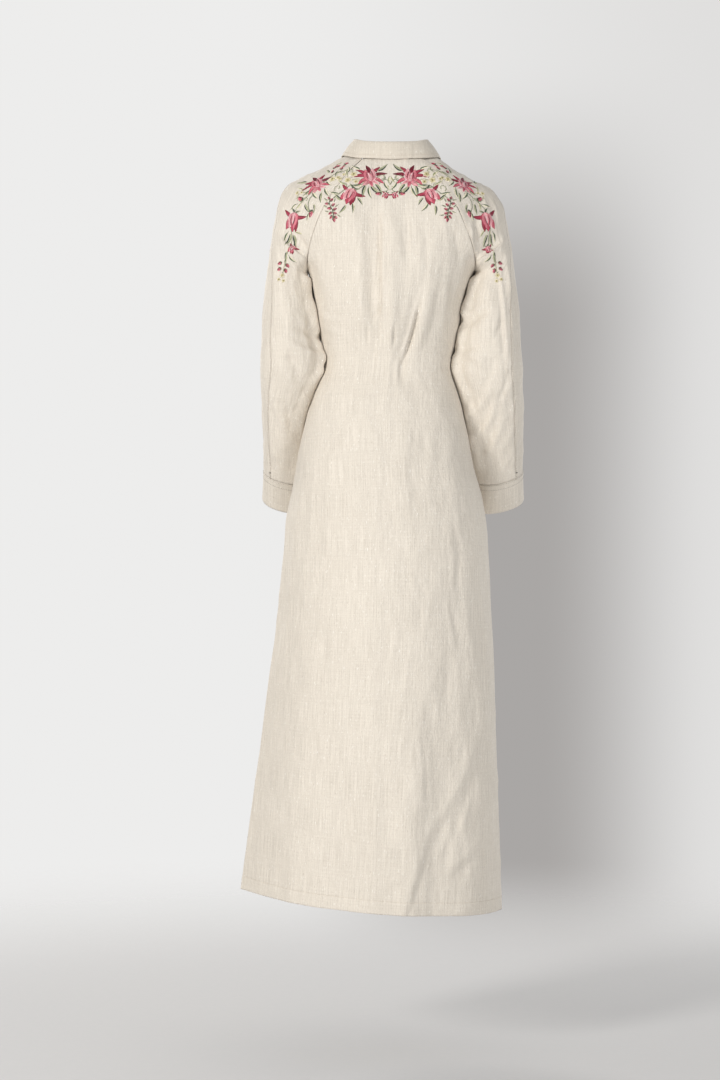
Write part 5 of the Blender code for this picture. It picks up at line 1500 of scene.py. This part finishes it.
def stitch_tree():
    """Lines of running stitch: a short rounded thread at each step along every line, laid on the cloth."""
    sizes = [(label, "Float") for label in ("Pitch", "Stitch Length", "Thread")]
    tree = Tree("running_stitch", (*sizes, ("Finish", "Material")))
    start = tree.start
    lines = tree.out("GeometryNodeMeshToCurve", Mesh=start["Geometry"])
    places = tree.node("GeometryNodeCurveToPoints", {"mode": "LENGTH"}, Curve=lines, Length=start["Pitch"])
    thread = tree.out("GeometryNodeMeshUVSphere", Segments=STITCH_SIDES, Rings=STITCH_RINGS, Radius=1.0)
    thick = start["Thread"]
    size = tree.out("ShaderNodeCombineXYZ", X=start["Stitch Length"], Y=thick, Z=thick)
    half = tree.out("ShaderNodeVectorMath", {"operation": "MULTIPLY"}, s0=size, s1=(0.5, 0.5, 0.5))
    out = tree.node("GeometryNodeInputNamedAttribute", {"data_type": "FLOAT_VECTOR"}, Name="out")
    outward = next(s for s in out.outputs if s.enabled and s.name == "Attribute")
    along_line = tree.out("FunctionNodeAlignRotationToVector", {"axis": "X"},
                          Vector=places.outputs["Tangent"])
    rolled = tree.out("FunctionNodeAlignRotationToVector", {"axis": "Z", "pivot_axis": "X"},
                      Rotation=along_line, Vector=outward)
    laid = tree.out("GeometryNodeInstanceOnPoints", Points=places.outputs["Points"],
                    Instance=thread, Rotation=rolled, Scale=half)
    return tree.finish(laid)


def satin_tree():
    """Laid threads: every line becomes one thread of a few sides, and keeps its own colour."""
    tree = Tree("laid_thread", (("Thread", "Float"), ("Finish", "Material")))
    start = tree.start
    lines = tree.out("GeometryNodeMeshToCurve", Mesh=start["Geometry"])
    ring = tree.out("GeometryNodeCurvePrimitiveCircle", Resolution=THREAD_SIDES, Radius=start["Thread"])
    return tree.finish(tree.out("GeometryNodeCurveToMesh", Curve=lines, Profile_Curve=ring, Fill_Caps=True))


def line_mesh(name, lines):
    """A mesh of open lines; each is its points and, for every point, the values of its attributes."""
    points, edges, values = [], [], {}
    for line in lines:
        base = len(points)
        points.extend((np.asarray(line["points"]) - NAPE).tolist())
        edges.extend((i, i + 1) for i in range(base, len(points) - 1))
        for label in line:
            if label != "points":
                values.setdefault(label, []).append(line[label])
    mesh = bpy.data.meshes.new(name)
    mesh.from_pydata(points, edges, [])
    for label, rows in values.items():
        rows = np.concatenate(rows)
        kind, field = ("FLOAT_VECTOR", "vector") if rows.shape[1] == 3 else ("FLOAT_COLOR", "color")
        mesh.attributes.new(label, kind, "POINT").data.foreach_set(field, rows.ravel())
    return mesh


def grown(name, lines, tree, **inputs):
    """A plain mesh grown on those lines by the tree."""
    made = new_object(name, line_mesh(name, lines))
    modifier = made.modifiers.new("grown", "NODES")
    modifier.node_group = tree.group
    for label, value in inputs.items():
        modifier[tree.keys[label.replace("_", " ")]] = value
    made.data = plain_mesh(made)
    made.modifiers.clear()
    return made


def lifted(found):
    """A line of stitches over the points and normals found on the cloth."""
    points, normals = np.swapaxes(np.array(found), 0, 1)
    normals = unit(normals)
    return {"points": points + normals * STITCH_LIFT, "out": normals}


def line_beside_edge(cloth, distance, far_edge=False, rows=slice(None)):
    """A line down a panel, that far in from one of its side edges."""
    found = []
    for line, normals, run in zip(cloth.grid[rows], cloth.normals[rows], cloth.flat[rows, :, 0]):
        at = run[-1] - distance if far_edge else run[0] + distance
        found.append((read_at(at, run, line), read_at(at, run, normals)))
    return lifted(found)


def line_above_foot(cloth, distance, columns=slice(None), closed=False):
    """A line across a panel, that far above its lower edge."""
    found = []
    for column in range(cloth.grid.shape[1])[columns]:
        line, normals, down = cloth.grid[:, column], cloth.normals[:, column], cloth.flat[:, column, 1]
        at = down[-1] - distance
        found.append((read_at(at, down, line), read_at(at, down, normals)))
    if closed:
        found.append(found[0])
    return lifted(found)


def sew(name, lines, tree, finish):
    """One piece of sewing: all its lines of stitches."""
    made = grown(name, lines, tree, Pitch=STITCH_PITCH, Stitch_Length=STITCH_LONG, Thread=STITCH_THREAD,
                 Finish=finish)
    return added_piece(made)


def lay(name, lines, tree, finish):
    """One piece of laid threads: bar tacks, buttonholes or what holds the buttons."""
    return added_piece(grown(name, lines, tree, Thread=BAR_THREAD, Finish=finish))


def laid_rows(centre, normal, run, ways, long):
    """Short arched threads side by side over that length; ways says where each starts and ends across."""
    across = np.cross(normal, run)
    lines = []
    for at in np.arange(-long / 2, long / 2, BAR_GAP):
        for start, end in ways:
            arch = ((start, 0.0), ((start + end) / 2, BAR_HIGH), (end, 0.0))
            points = [centre + run * at + across * off + normal * (STITCH_LIFT + high) for off, high in arch]
            lines.append({"points": np.array(points)})
    return lines


def buttonhole(centre, normal, run):
    """Two rows of close bars along a cut, with a bar tack over each end."""
    lines = laid_rows(centre, normal, run, ((HOLE_SLIT, HOLE_BAR), (-HOLE_SLIT, -HOLE_BAR)), HOLE_LONG)
    for end in (-HOLE_LONG / 2, HOLE_LONG / 2):
        lines += laid_rows(centre + run * end, normal, run, ((-HOLE_BAR, HOLE_BAR),), HOLE_END)
    return lines


def button_threads(centre, normal, run):
    """The threads over a button, from hole to hole, in two bars along the buttonhole's way."""
    across = np.cross(normal, run)
    lines = []
    for off in (-HOLE_OFF, HOLE_OFF):
        for strand in (-0.5, 0.5):
            beside = across * (off + strand * HOLE_RADIUS)
            points = [centre + beside + run * HOLE_OFF * at + normal * BUTTON_THICK * high
                      for at, high in THREAD_PATH]
            lines.append({"points": np.array(points)})
    return lines


def tack_on(line):
    """A bar tack across a line of stitches, a little above its lower end."""
    at = -1 - round(TACK_UP / SLEEVE_STEP)
    points, out = line["points"], line["out"]
    run = unit(points[at] - points[at - 2])
    return laid_rows(points[at], out[at], run, ((-TACK_LONG / 2, TACK_LONG / 2),), TACK_HIGH)


# ======== embroidery
def turned(x, y, heading, across, up):
    """A motif's own place (across, up), turned to its heading and moved to (x, y)."""
    turn = math.radians(heading)
    return (x + across * math.cos(turn) + up * math.sin(turn),
            y + up * math.cos(turn) - across * math.sin(turn))


class Motifs:
    """Threads of one embroidered ground, gathered motif by motif and then laid on the cloth."""

    def __init__(self, net, seed):
        self.net = net
        self.chance = np.random.default_rng(seed)
        self.lines = []

    def place(self, x, z, turn, side):
        """Goes to a place on the cloth seen from behind. turn leans the motif away from the middle."""
        middle = np.array([GARLAND_MIDDLE + x * side, 0.0, z])
        spot, normal = self.net.below(middle, Y_AXIS, PLACE_REACH)
        upward = flatten(UP, normal)
        across = np.cross(upward, normal)
        across *= math.copysign(1.0, across[0]) * side
        lean = math.radians(turn)
        self.spot, self.normal = spot, normal
        self.across = across * math.cos(lean) - upward * math.sin(lean)
        self.up = upward * math.cos(lean) + across * math.sin(lean)

    def thread(self, points, colours, layer, puff=0.0):
        """Lays one thread: points are (across, up) from the place, colours one for each of them."""
        laid = []
        for (a, u), arch in zip(points, np.broadcast_to(puff, len(points))):
            guess = self.spot + self.across * a + self.up * u
            on, normal = self.net.below(guess, self.normal, THREAD_REACH)
            laid.append(on + normal * (THREAD_LIFT + THREAD_LAYER * layer + arch))
        shade = 1 + self.chance.uniform(-THREAD_UNEVEN, THREAD_UNEVEN)
        colours = np.clip(np.broadcast_to(colours, (len(points), 3)) * shade, 0, 1)
        self.lines.append({"points": np.array(laid), "thread_colour": np.insert(colours, 3, 1.0, axis=1)})

    def petal(self, p):
        """Long stitches from the base to the tip, spread to the petal's width."""
        s = np.linspace(0, 1, PETAL_POINTS)
        half = p["wide"] / 2 * np.sin(math.pi * s**PETAL_FULLEST)**p["blunt"]
        half[0] = half[-1] = p["wide"] * PETAL_ENDS
        inner, outer = np.array(SILKS[p["inner"]]), np.array(SILKS[p["outer"]])
        for t in np.linspace(-1, 1, max(PETAL_FEWEST, round(p["wide"] / THREAD_GAP))):
            across = t * half + p["bend"] * p["long"] * s**2
            points = np.stack(turned(p["x"], p["y"], p["heading"], across, s * p["long"]), axis=1)
            share = np.clip(s + TINT_UNEVEN * self.chance.uniform(-1, 1), 0, 1)[:, None]
            tint = inner * (1 - share) + outer * share
            if p["edge"] and abs(t) > RIM_FROM:
                tint = tint * RIM_MIX[0] + np.array(SILKS[p["edge"]]) * RIM_MIX[1]
            self.thread(points, tint, p["layer"], PETAL_PUFF * (1 - t * t) * np.sin(math.pi * s))

    def flower(self, kind, size, x=0.0, y=0.0, heading=0.0):
        """A flower or a bud of that size in millimetres, from its table of petals."""
        scale = size / FLOWER_SIZES[kind]
        for row in FLOWERS[kind]:
            p = dict(zip(PETAL_COLUMNS, row))
            p["x"], p["y"] = turned(x, y, heading, p["x"] * scale, p["y"] * scale)
            p["heading"] += heading
            p["long"] *= scale
            p["wide"] *= scale
            self.petal({k: v * MM if k in ("x", "y", "long", "wide") else v for k, v in p.items()})

    def leaf(self, base, heading, long, wide, tones):
        """Short slanted stitches on either side of a vein, dark on one side and pale on the other."""
        near, far, vein = (np.array(SILKS[tone]) for tone in LEAFLET_TONES[tones])
        bend = LEAFLET_BEND * self.chance.choice((-1.0, 1.0))

        def spot(across, s):
            """A place on the leaf, off its bent vein."""
            return turned(*base, heading, across + bend * long * s * s, s * long)

        puff = (0.0, PETAL_PUFF * LEAFLET_PUFF, 0.0)
        for s in np.linspace(*LEAFLET_RUN, max(LEAFLET_FEWEST, round(long * LEAFLET_FILL / THREAD_GAP))):
            reach = min(s + LEAFLET_SLANT, LEAFLET_TIP)
            half = wide / 2 * math.sin(math.pi * reach**LEAFLET_SHAPE[0])**LEAFLET_SHAPE[1]
            for side, tint in ((-1, near), (1, far)):
                middle = spot(side * half * LEAFLET_MIDDLE[0], s + LEAFLET_MIDDLE[1])
                self.thread([spot(0, s), middle, spot(side * half, reach)], tint, 0, puff)
        self.thread([spot(0, s) for s in np.linspace(*VEIN_RUN, VEIN_POINTS)], vein, 1)

    def stem(self, points, tints):
        """A curved stem through a few points: one thread of each tint, side by side."""
        points = np.array(points, float)
        run = along(np.insert(points, 2, 0.0, axis=1))
        at = np.linspace(0, run[-1], max(STEM_FEWEST, round(run[-1] / STEM_STEP)))
        curve = np.stack([smooth(run, points[:, k], at) for k in (0, 1)], axis=1)
        heading = unit(np.gradient(curve, axis=0))
        beside = np.stack([-heading[:, 1], heading[:, 0]], axis=1)
        for k, tint in enumerate(tints):
            self.thread(curve + beside * (k - (len(tints) - 1) / 2) * THREAD_GAP, np.array(SILKS[tint]), 0)

    def sprig(self):
        """A thin stem with small buds and leaves set on it."""
        self.stem(np.array(SPRIG_STEM) * MM, ("dark", "mid"))
        for x, y, heading, long in SPRIG_LEAVES:
            self.leaf((x * MM, y * MM), heading, long * MM, long * MM * SPRIG_LEAF_WIDE, "dark")
        for x, y, heading, long in SPRIG_BUDS:
            self.flower("bud", long, x, y, heading)

    def curl(self, size):
        """A tendril that winds up on itself."""
        share = np.linspace(0, 1, CURL_POINTS)
        angles = 2 * math.pi * CURL_TURNS * share
        reach = size / 2 * (1 - CURL_CLOSE * share)
        points = np.stack([reach * np.cos(angles), reach * np.sin(angles)], axis=1)
        self.stem(points, ("mid", "ivory", "sage"))


def embroider(motifs, garland, sides):
    """Every motif of a garland, once for each side that it is worked on."""
    for side in sides:
        for row in garland:
            kind, x, z, turn, size, *more = row
            motifs.place(x * MM, z * MM, turn, side)
            if kind == "leaf":
                wide, tones = more
                motifs.leaf((0.0, -size * MM / 2), 0, size * MM, size * MM * wide, tones)
            elif kind == "vine":
                points, tones = more
                motifs.stem(np.array(points) * MM, LEAFLET_TONES[tones])
            elif kind == "sprig":
                motifs.sprig()
            elif kind == "curl":
                motifs.curl(size * MM)
            else:
                motifs.flower(kind, size)


def make_embroidery(name, net, garland, sides, tree, finish, seed):
    """One piece of embroidery on the cloth under the net."""
    motifs = Motifs(net, seed)
    embroider(motifs, garland, sides)
    made = grown(name, motifs.lines, tree, Thread=THREAD_RADIUS, Finish=finish)
    return added_piece(made)


# ======== finishes
class Shading(Nodes):
    """Shader nodes: short calls for the patterns and the arithmetic that every finish uses."""

    def sum(self, kind, a, b=0.0):
        """One step of arithmetic."""
        return self.out("ShaderNodeMath", {"operation": kind}, s0=a, s1=b)

    def spread(self, value, low, high, first=0.0, last=1.0):
        """The value mapped from low..high to first..last, held at its ends."""
        return self.out("ShaderNodeMapRange", s0=value, s1=low, s2=high, s3=first, s4=last)

    def eased(self, value, none, full):
        """0 at none, 1 at full, smooth between; none may be the larger."""
        low, high = min(none, full), max(none, full)
        ends = (0.0, 1.0) if none < full else (1.0, 0.0)
        return self.out("ShaderNodeMapRange", {"interpolation_type": "SMOOTHSTEP"}, s0=value, s1=low,
                        s2=high, s3=ends[0], s4=ends[1])

    def mix(self, share, first, second, kind="MIX"):
        """Two colours mixed."""
        made = self.node("ShaderNodeMix", {"data_type": "RGBA", "blend_type": kind})
        for name, value in (("Factor_Float", share), ("A_Color", first), ("B_Color", second)):
            socket = next(s for s in made.inputs if s.identifier == name)
            self.join(socket, value)
        return next(s for s in made.outputs if s.identifier == "Result_Color")

    def noise(self, place, scale, detail=2.0, roughness=0.5):
        """An uneven pattern, mostly from 0.3 to 0.7."""
        return self.out("ShaderNodeTexNoise", Vector=place, Scale=scale, Detail=detail,
                        Roughness=roughness)

    def stretched(self, place, across, down, shift=0.0):
        """A pattern's place, in cells of that size across and down the cloth."""
        return self.out("ShaderNodeMapping", Vector=place, Scale=(1 / across, 1 / down, 1.0),
                        Location=(shift, shift * SHIFT_DOWN, 0.0))

    def weighted(self, values, shares):
        """The sum of the values, each times its share."""
        total = self.sum("MULTIPLY", values[0], shares[0])
        for value, share in zip(values[1:], shares[1:]):
            total = self.sum("ADD", total, self.sum("MULTIPLY", value, share))
        return total

    def bump(self, height, distance, normal=None):
        """The normal of a fine relief of that height, over another one."""
        made = self.node("ShaderNodeBump", Height=height, Distance=distance, Strength=1.0)
        if normal is not None:
            self.join(made.inputs["Normal"], normal)
        return made.outputs[0]


class Finish(Shading):
    """A material under construction."""

    def __init__(self, name):
        self.material = bpy.data.materials.new(name)
        self.material.use_nodes = True
        super().__init__(self.material.node_tree)
        self.shader = self.group.nodes["Principled BSDF"]
        self.place = self.node("ShaderNodeTexCoord").outputs["Object"]

    def finish(self, **inputs):
        """The material with these inputs of its shader."""
        for name, value in inputs.items():
            self.join(self.shader.inputs[name.replace("_", " ")], value)
        return self.material


def linen_finish(name, light, dark, crinkle):
    """Undyed plain-weave linen: an open weave, uneven threads, pale and dark slubs, a washed crinkle."""
    f = Finish(name)
    flat = f.out("ShaderNodeUVMap", {"uv_map": "weave"})
    warp = f.noise(f.stretched(flat, WARP_TONE_WIDE, WARP_TONE_LONG), 1.0, 3.0)
    weft = f.noise(f.stretched(flat, WARP_TONE_LONG, WARP_TONE_WIDE, WEFT_SHIFT), 1.0, 3.0)
    tones = (warp, weft, f.noise(f.place, BROAD_TONE, 2.0), f.noise(f.place, GRAIN_SCALE, 1.0))
    colour = f.mix(f.spread(f.weighted(tones, TONE_SHARES), *TONE_ENDS), dark, light)
    slubs = []
    for cell, shown, tint in SLUBS:
        slubs.append(f.noise(f.stretched(flat, *cell), 1.0, 1.0))
        colour = f.mix(f.spread(slubs[-1], *shown), colour, tint)
    parts = f.node("ShaderNodeSeparateXYZ", Vector=flat).outputs
    over, under = (f.sum("SINE", f.sum("MULTIPLY", part, math.pi / THREAD_PITCH)) for part in parts[:2])
    weave = f.sum("MULTIPLY", over, under)
    uneven = f.sum("ADD", f.sum("MULTIPLY", weave, WEAVE_SHARE), f.sum("ADD", warp, weft))
    creased = f.noise(f.stretched(flat, *CREASED_CELL), 1.0, *CREASED_DETAIL)
    normal = f.bump(f.noise(f.place, CRINKLE, *CRINKLE_DETAIL), crinkle)
    normal = f.bump(f.sum("ABSOLUTE", f.sum("SUBTRACT", creased, 0.5)), crinkle * CREASED_SHARE, normal)
    normal = f.bump(f.sum("ADD", slubs[0], slubs[1]), SLUB_HIGH, normal)
    return f.finish(Base_Color=colour, Roughness=f.spread(uneven, *LINEN_ROUGH),
                    Normal=f.bump(uneven, WEAVE_HIGH, normal), Sheen_Weight=LINEN_SHEEN,
                    Sheen_Roughness=0.5, Specular_IOR_Level=LINEN_GLOSS)


def thread_finish(name, colour):
    """Twisted sewing thread."""
    f = Finish(name)
    twist = f.noise(f.place, THREAD_TWIST, 2.0)
    darker = tuple(c * THREAD_SHADED for c in colour[:3]) + (1.0,)
    return f.finish(Base_Color=f.mix(twist, darker, colour), Roughness=THREAD_ROUGH,
                    Normal=f.bump(twist, THREAD_TWIST_HIGH), Sheen_Weight=THREAD_SHEEN)


def satin_finish(name):
    """Embroidery thread: each stitch has its own colour, with a soft silky gloss along the thread."""
    f = Finish(name)
    own = f.node("ShaderNodeAttribute", {"attribute_name": "thread_colour"}).outputs["Color"]
    twist = f.noise(f.place, THREAD_TWIST, 2.0)
    shade = f.mix(f.spread(twist, *SILK_SHADES), own, (0.0, 0.0, 0.0, 1.0), "MULTIPLY")
    return f.finish(Base_Color=f.mix(SILK_SHADED, own, shade), Roughness=f.spread(twist, *SILK_ROUGH),
                    Normal=f.bump(twist, SILK_TWIST_HIGH), Sheen_Weight=SILK_SHEEN,
                    Specular_IOR_Level=SILK_GLOSS)


def shell_finish(name):
    """A pale shell button: faint layers, small clouds and a clear satin gloss."""
    f = Finish(name)
    clouds = f.noise(f.place, SHELL_CLOUDS, 3.0)
    layers = f.node("ShaderNodeTexWave", {"wave_type": "BANDS", "bands_direction": "DIAGONAL"},
                    Vector=f.place, Scale=SHELL_LAYERS, Distortion=SHELL_BENT, Detail=2.0).outputs[1]
    share = f.spread(f.weighted((clouds, layers), SHELL_SHARES), *SHELL_ENDS)
    return f.finish(Base_Color=f.mix(share, SHELL_DARK, SHELL_LIGHT), Coat_Weight=SHELL_COAT,
                    Roughness=f.spread(clouds, *SHELL_ROUGH), Coat_Roughness=SHELL_COAT_ROUGH,
                    Normal=f.bump(layers, SHELL_HIGH))


# ======== the studio
def make_camera():
    """Behind the garment and a little to its left, level, at hip height."""
    data = bpy.data.cameras.new("camera")
    data.lens = CAMERA_LENS
    data.sensor_width = CAMERA_SENSOR
    camera = new_object("camera", data)
    camera.location = CAMERA_AT
    camera.rotation_euler = CAMERA_TURN
    bpy.context.scene.camera = camera


def make_light(name, place, target, size, power, colour):
    """A round soft light, aimed at its target."""
    data = bpy.data.lights.new(name, "AREA")
    data.shape = "DISK"
    data.size = size
    data.energy = power
    data.color = colour
    light = new_object(name, data)
    light.location = place
    aim = Vector(target) - Vector(place)
    light.rotation_euler = aim.to_track_quat("-Z", "Y").to_euler()


def make_floor():
    """A pale round floor that fades out into the backdrop."""
    floor = bmesh.new()
    bmesh.ops.create_circle(floor, cap_ends=True, segments=FLOOR_ROUND, radius=FLOOR_RADIUS,
                            matrix=Matrix.Translation((0.0, 0.0, FLOOR_Z)))
    new_object("floor", mesh_of(floor, "floor"), floor_finish())


def floor_finish():
    """Pale paper, see-through towards its rim."""
    f = Finish("studio_floor")
    flat = f.out("ShaderNodeMapping", Vector=f.place, Scale=(1.0, 1.0, 0.0))
    reach = f.node("ShaderNodeVectorMath", {"operation": "LENGTH"}, s0=flat).outputs["Value"]
    grain = f.noise(f.place, FLOOR_GRAIN, 3.0)
    colour = f.mix(grain, FLOOR_DARK, FLOOR_LIGHT)
    solid = f.eased(reach, FLOOR_RADIUS * FLOOR_FADE[1], FLOOR_RADIUS * FLOOR_FADE[0])
    return f.finish(Base_Color=colour, Roughness=FLOOR_ROUGH, Alpha=solid, Specular_IOR_Level=FLOOR_GLOSS,
                    Normal=f.bump(grain, FLOOR_GRAIN_HIGH))


def make_backdrop():
    """Pale paper far behind, with painted light (lighter to the left) and a soft painted shadow of the
    wearer behind the garment; it lights the garment only softly.
    """
    world = bpy.data.worlds.new("studio")
    bpy.context.scene.world = world
    world.use_nodes = True
    f = Shading(world.node_tree)
    place = f.node("ShaderNodeTexCoord").outputs["Generated"]
    sideways, back, up = f.node("ShaderNodeSeparateXYZ", Vector=place).outputs
    # paper is painted light: the backdrop lighter on the left, where the light comes from, and dimmer to the
    # right
    paper = f.mix(f.eased(sideways, *BACKDROP_TURN), BACKDROP_PAINTED_DIM, BACKDROP_PAINTED_LIT)
    # shade is a painted shadow of the wearer on the backdrop, behind the garment's right side
    shade = f.sum("MULTIPLY", f.eased(sideways, *PAINTED_SHADOW_LEFT), f.eased(sideways, *PAINTED_SHADOW_RIGHT))
    shade = f.sum("MULTIPLY", shade, f.eased(up, *PAINTED_SHADOW_TOP))
    shade = f.sum("MULTIPLY", shade, f.eased(back, *PAINTED_SHADOW_BACK))
    shown = f.group.nodes["Background"]
    f.join(shown.inputs["Color"], f.mix(shade, paper, BACKDROP_PAINTED_SHADOW))
    soft = f.out("ShaderNodeBackground", Color=AMBIENT_COLOUR, Strength=AMBIENT)
    seen = f.node("ShaderNodeLightPath").outputs["Is Camera Ray"]
    either = f.out("ShaderNodeMixShader", s0=seen, s1=soft, s2=shown.outputs[0])
    f.join(f.group.nodes["World Output"].inputs["Surface"], either)


def make_studio():
    """Camera, floor, backdrop and lights."""
    make_camera()
    make_floor()
    make_backdrop()
    for light in LIGHTS:
        make_light(*light)
    bpy.context.scene.view_settings.view_transform = "Standard"


# ======== the garment
def dress_body(linen):
    """The front and the back, shells on the solids' form."""
    back = drape(body_cloth(True), "body", hemmed=True)
    front = drape(body_cloth(False), "body", hemmed=True)
    for name, cloth in (("back", back), ("front", front)):
        sewn_piece(cloth_object(f"{name}_panel", cloth, CLOTH, linen), name)
    return back, front


def dress_sleeves(linen, body):
    """The four sleeve panels, laid against the body."""
    sleeves = {}
    for label, side in SIDES:
        for part, cloth in sleeve_cloths(side).items():
            cloth = drape(cloth, label)
            nestle(cloth, side, body)
            piece = cloth_object(f"sleeve_{part}_{label}_panel", cloth, CLOTH, linen)
            sewn_piece(piece, f"sleeve_{part}_{label}")
            sleeves[part, label] = cloth
    return sleeves


def dress_cuffs(linen):
    """The two cuffs."""
    cuffs = {label: cuff_cloth(side) for label, side in SIDES}
    for label, cuff in cuffs.items():
        sewn_piece(cloth_object(f"cuff_{label}_band", cuff, CLOTH, linen, closed=True), f"cuff_{label}")
    return cuffs


def dress_buttons(strip, stand, shell, tree, thread):
    """The six buttons, the threads that hold them and their buttonholes."""
    holes, threads = {}, []
    for name, centre, normal, run in button_points(strip.grid[:, STRIP_ACROSS // 2], stand):
        sewn_piece(button_object(f"{name}_turned", centre, normal, shell), name)
        ground = "collar_stand_band" if name == "button_collar" else "placket_strip"
        holes.setdefault(ground, []).extend(buttonhole(centre, normal, run))
        threads += button_threads(centre, normal, run)
    lay("button_threads", threads, tree, thread)
    return {ground: [lay(f"buttonholes_{ground}", lines, tree, thread)] for ground, lines in holes.items()}


def sew_sleeves(sleeves, cuffs, tree, bars, pale, dark):
    """The stitches along each sleeve's seams and round its cuff, by the sheet that carries them."""
    carried = {}
    yoke = slice(COLLAR_COVERS, YOKE_DOWN - RAGLAN_STOPS)
    for label, _ in SIDES:
        behind, before = sleeves["back", label], sleeves["front", label]
        rows = [line_beside_edge(behind, EDGE_STITCH, rows=yoke)]
        carried[f"sleeve_back_{label}_panel"] = [sew(f"raglan_stitches_back_{label}", rows, tree, pale)]
        rows = [line_beside_edge(before, EDGE_STITCH, True, yoke)]
        over = line_beside_edge(before, EDGE_STITCH, rows=slice(COLLAR_COVERS, None))
        carried[f"sleeve_front_{label}_panel"] = [
            sew(f"raglan_stitches_front_{label}", rows, tree, pale),
            sew(f"overarm_stitches_{label}", [over], tree, dark),
            lay(f"opening_tack_{label}", tack_on(over), bars, dark)]
        rows = [line_above_foot(cuffs[label], height, closed=True) for height in CUFF_STITCHES]
        carried[f"cuff_{label}_band"] = [sew(f"cuff_stitches_{label}", rows, tree, dark)]
    return carried


def sew_body(back, front, stand, leaf, strip, tree, pale):
    """The stitches on the body, the collar and the placket, by the sheet that carries them."""
    foot, ends = slice(LEAF_END_COLUMNS, -LEAF_END_COLUMNS), slice(LEAF_FIRST_ROW, LEAF_LAST_ROW)
    lines = {
        "back_panel": ("hem_stitches_back", [line_above_foot(back, HEM_DEEP)]),
        "front_panel": ("hem_stitches_front", [line_above_foot(front, HEM_DEEP)]),
        "collar_leaf_sheet": ("collar_leaf_stitches", [
            line_above_foot(leaf, LEAF_STITCH, foot),
            *(line_beside_edge(leaf, LEAF_STITCH, far, ends) for far in (False, True))]),
        "collar_stand_band": ("collar_stand_stitches", [line_above_foot(stand, EDGE_STITCH)]),
        "placket_strip": ("placket_stitches", [
            *(line_beside_edge(strip, EDGE_STITCH, far) for far in (False, True)),
            *(line_above_foot(strip, up) for up in (EDGE_STITCH, PLACKET_BOX))]),
    }
    return {sheet: [sew(name, found, tree, pale)] for sheet, (name, found) in lines.items()}


def embroider_garment(back, sleeves, tree):
    """The garland: one piece of embroidery on the back and one on each sleeve."""
    silk = satin_finish("embroidery_silk")
    net = Net(back, *sleeves.values())
    return {sheet: [make_embroidery(name, net, garland, sides, tree, silk, seed)]
            for sheet, name, garland, sides, seed in EMBROIDERIES}


def main():
    """The whole garment in its studio."""
    linen = linen_finish("washed_linen", LINEN_LIGHT, LINEN_DARK, LINEN_CRINKLE)
    crisp = linen_finish("interlined_linen", COLLAR_LIGHT, COLLAR_DARK, CUFF_CRINKLE)
    pale, dark = thread_finish("pale_thread", STITCH_PALE), thread_finish("grey_thread", STITCH_DARK)
    stitch, bars = stitch_tree(), satin_tree()
    back, front = dress_body(linen)
    sleeves = dress_sleeves(linen, Net(back, front))
    cuffs = dress_cuffs(linen_finish("cuff_linen", LINEN_LIGHT, LINEN_DARK, CUFF_CRINKLE))
    stand, leaf = stand_cloth(), leaf_cloth()
    sewn_piece(cloth_object("collar_stand_band", stand, COLLAR_CLOTH, crisp), "collar_stand")
    sewn_piece(cloth_object("collar_leaf_sheet", leaf, COLLAR_CLOTH, crisp), "collar_leaf")
    strip = strip_cloth(front)
    sewn_piece(cloth_object("placket_strip", strip, CLOTH, crisp), "placket")
    dress_buttons(strip, stand, shell_finish("button_shell"), bars, pale)
    sew_sleeves(sleeves, cuffs, stitch, bars, pale, dark)
    sew_body(back, front, stand, leaf, strip, stitch, pale)
    embroider_garment(back, sleeves, bars)
    make_studio()


main()
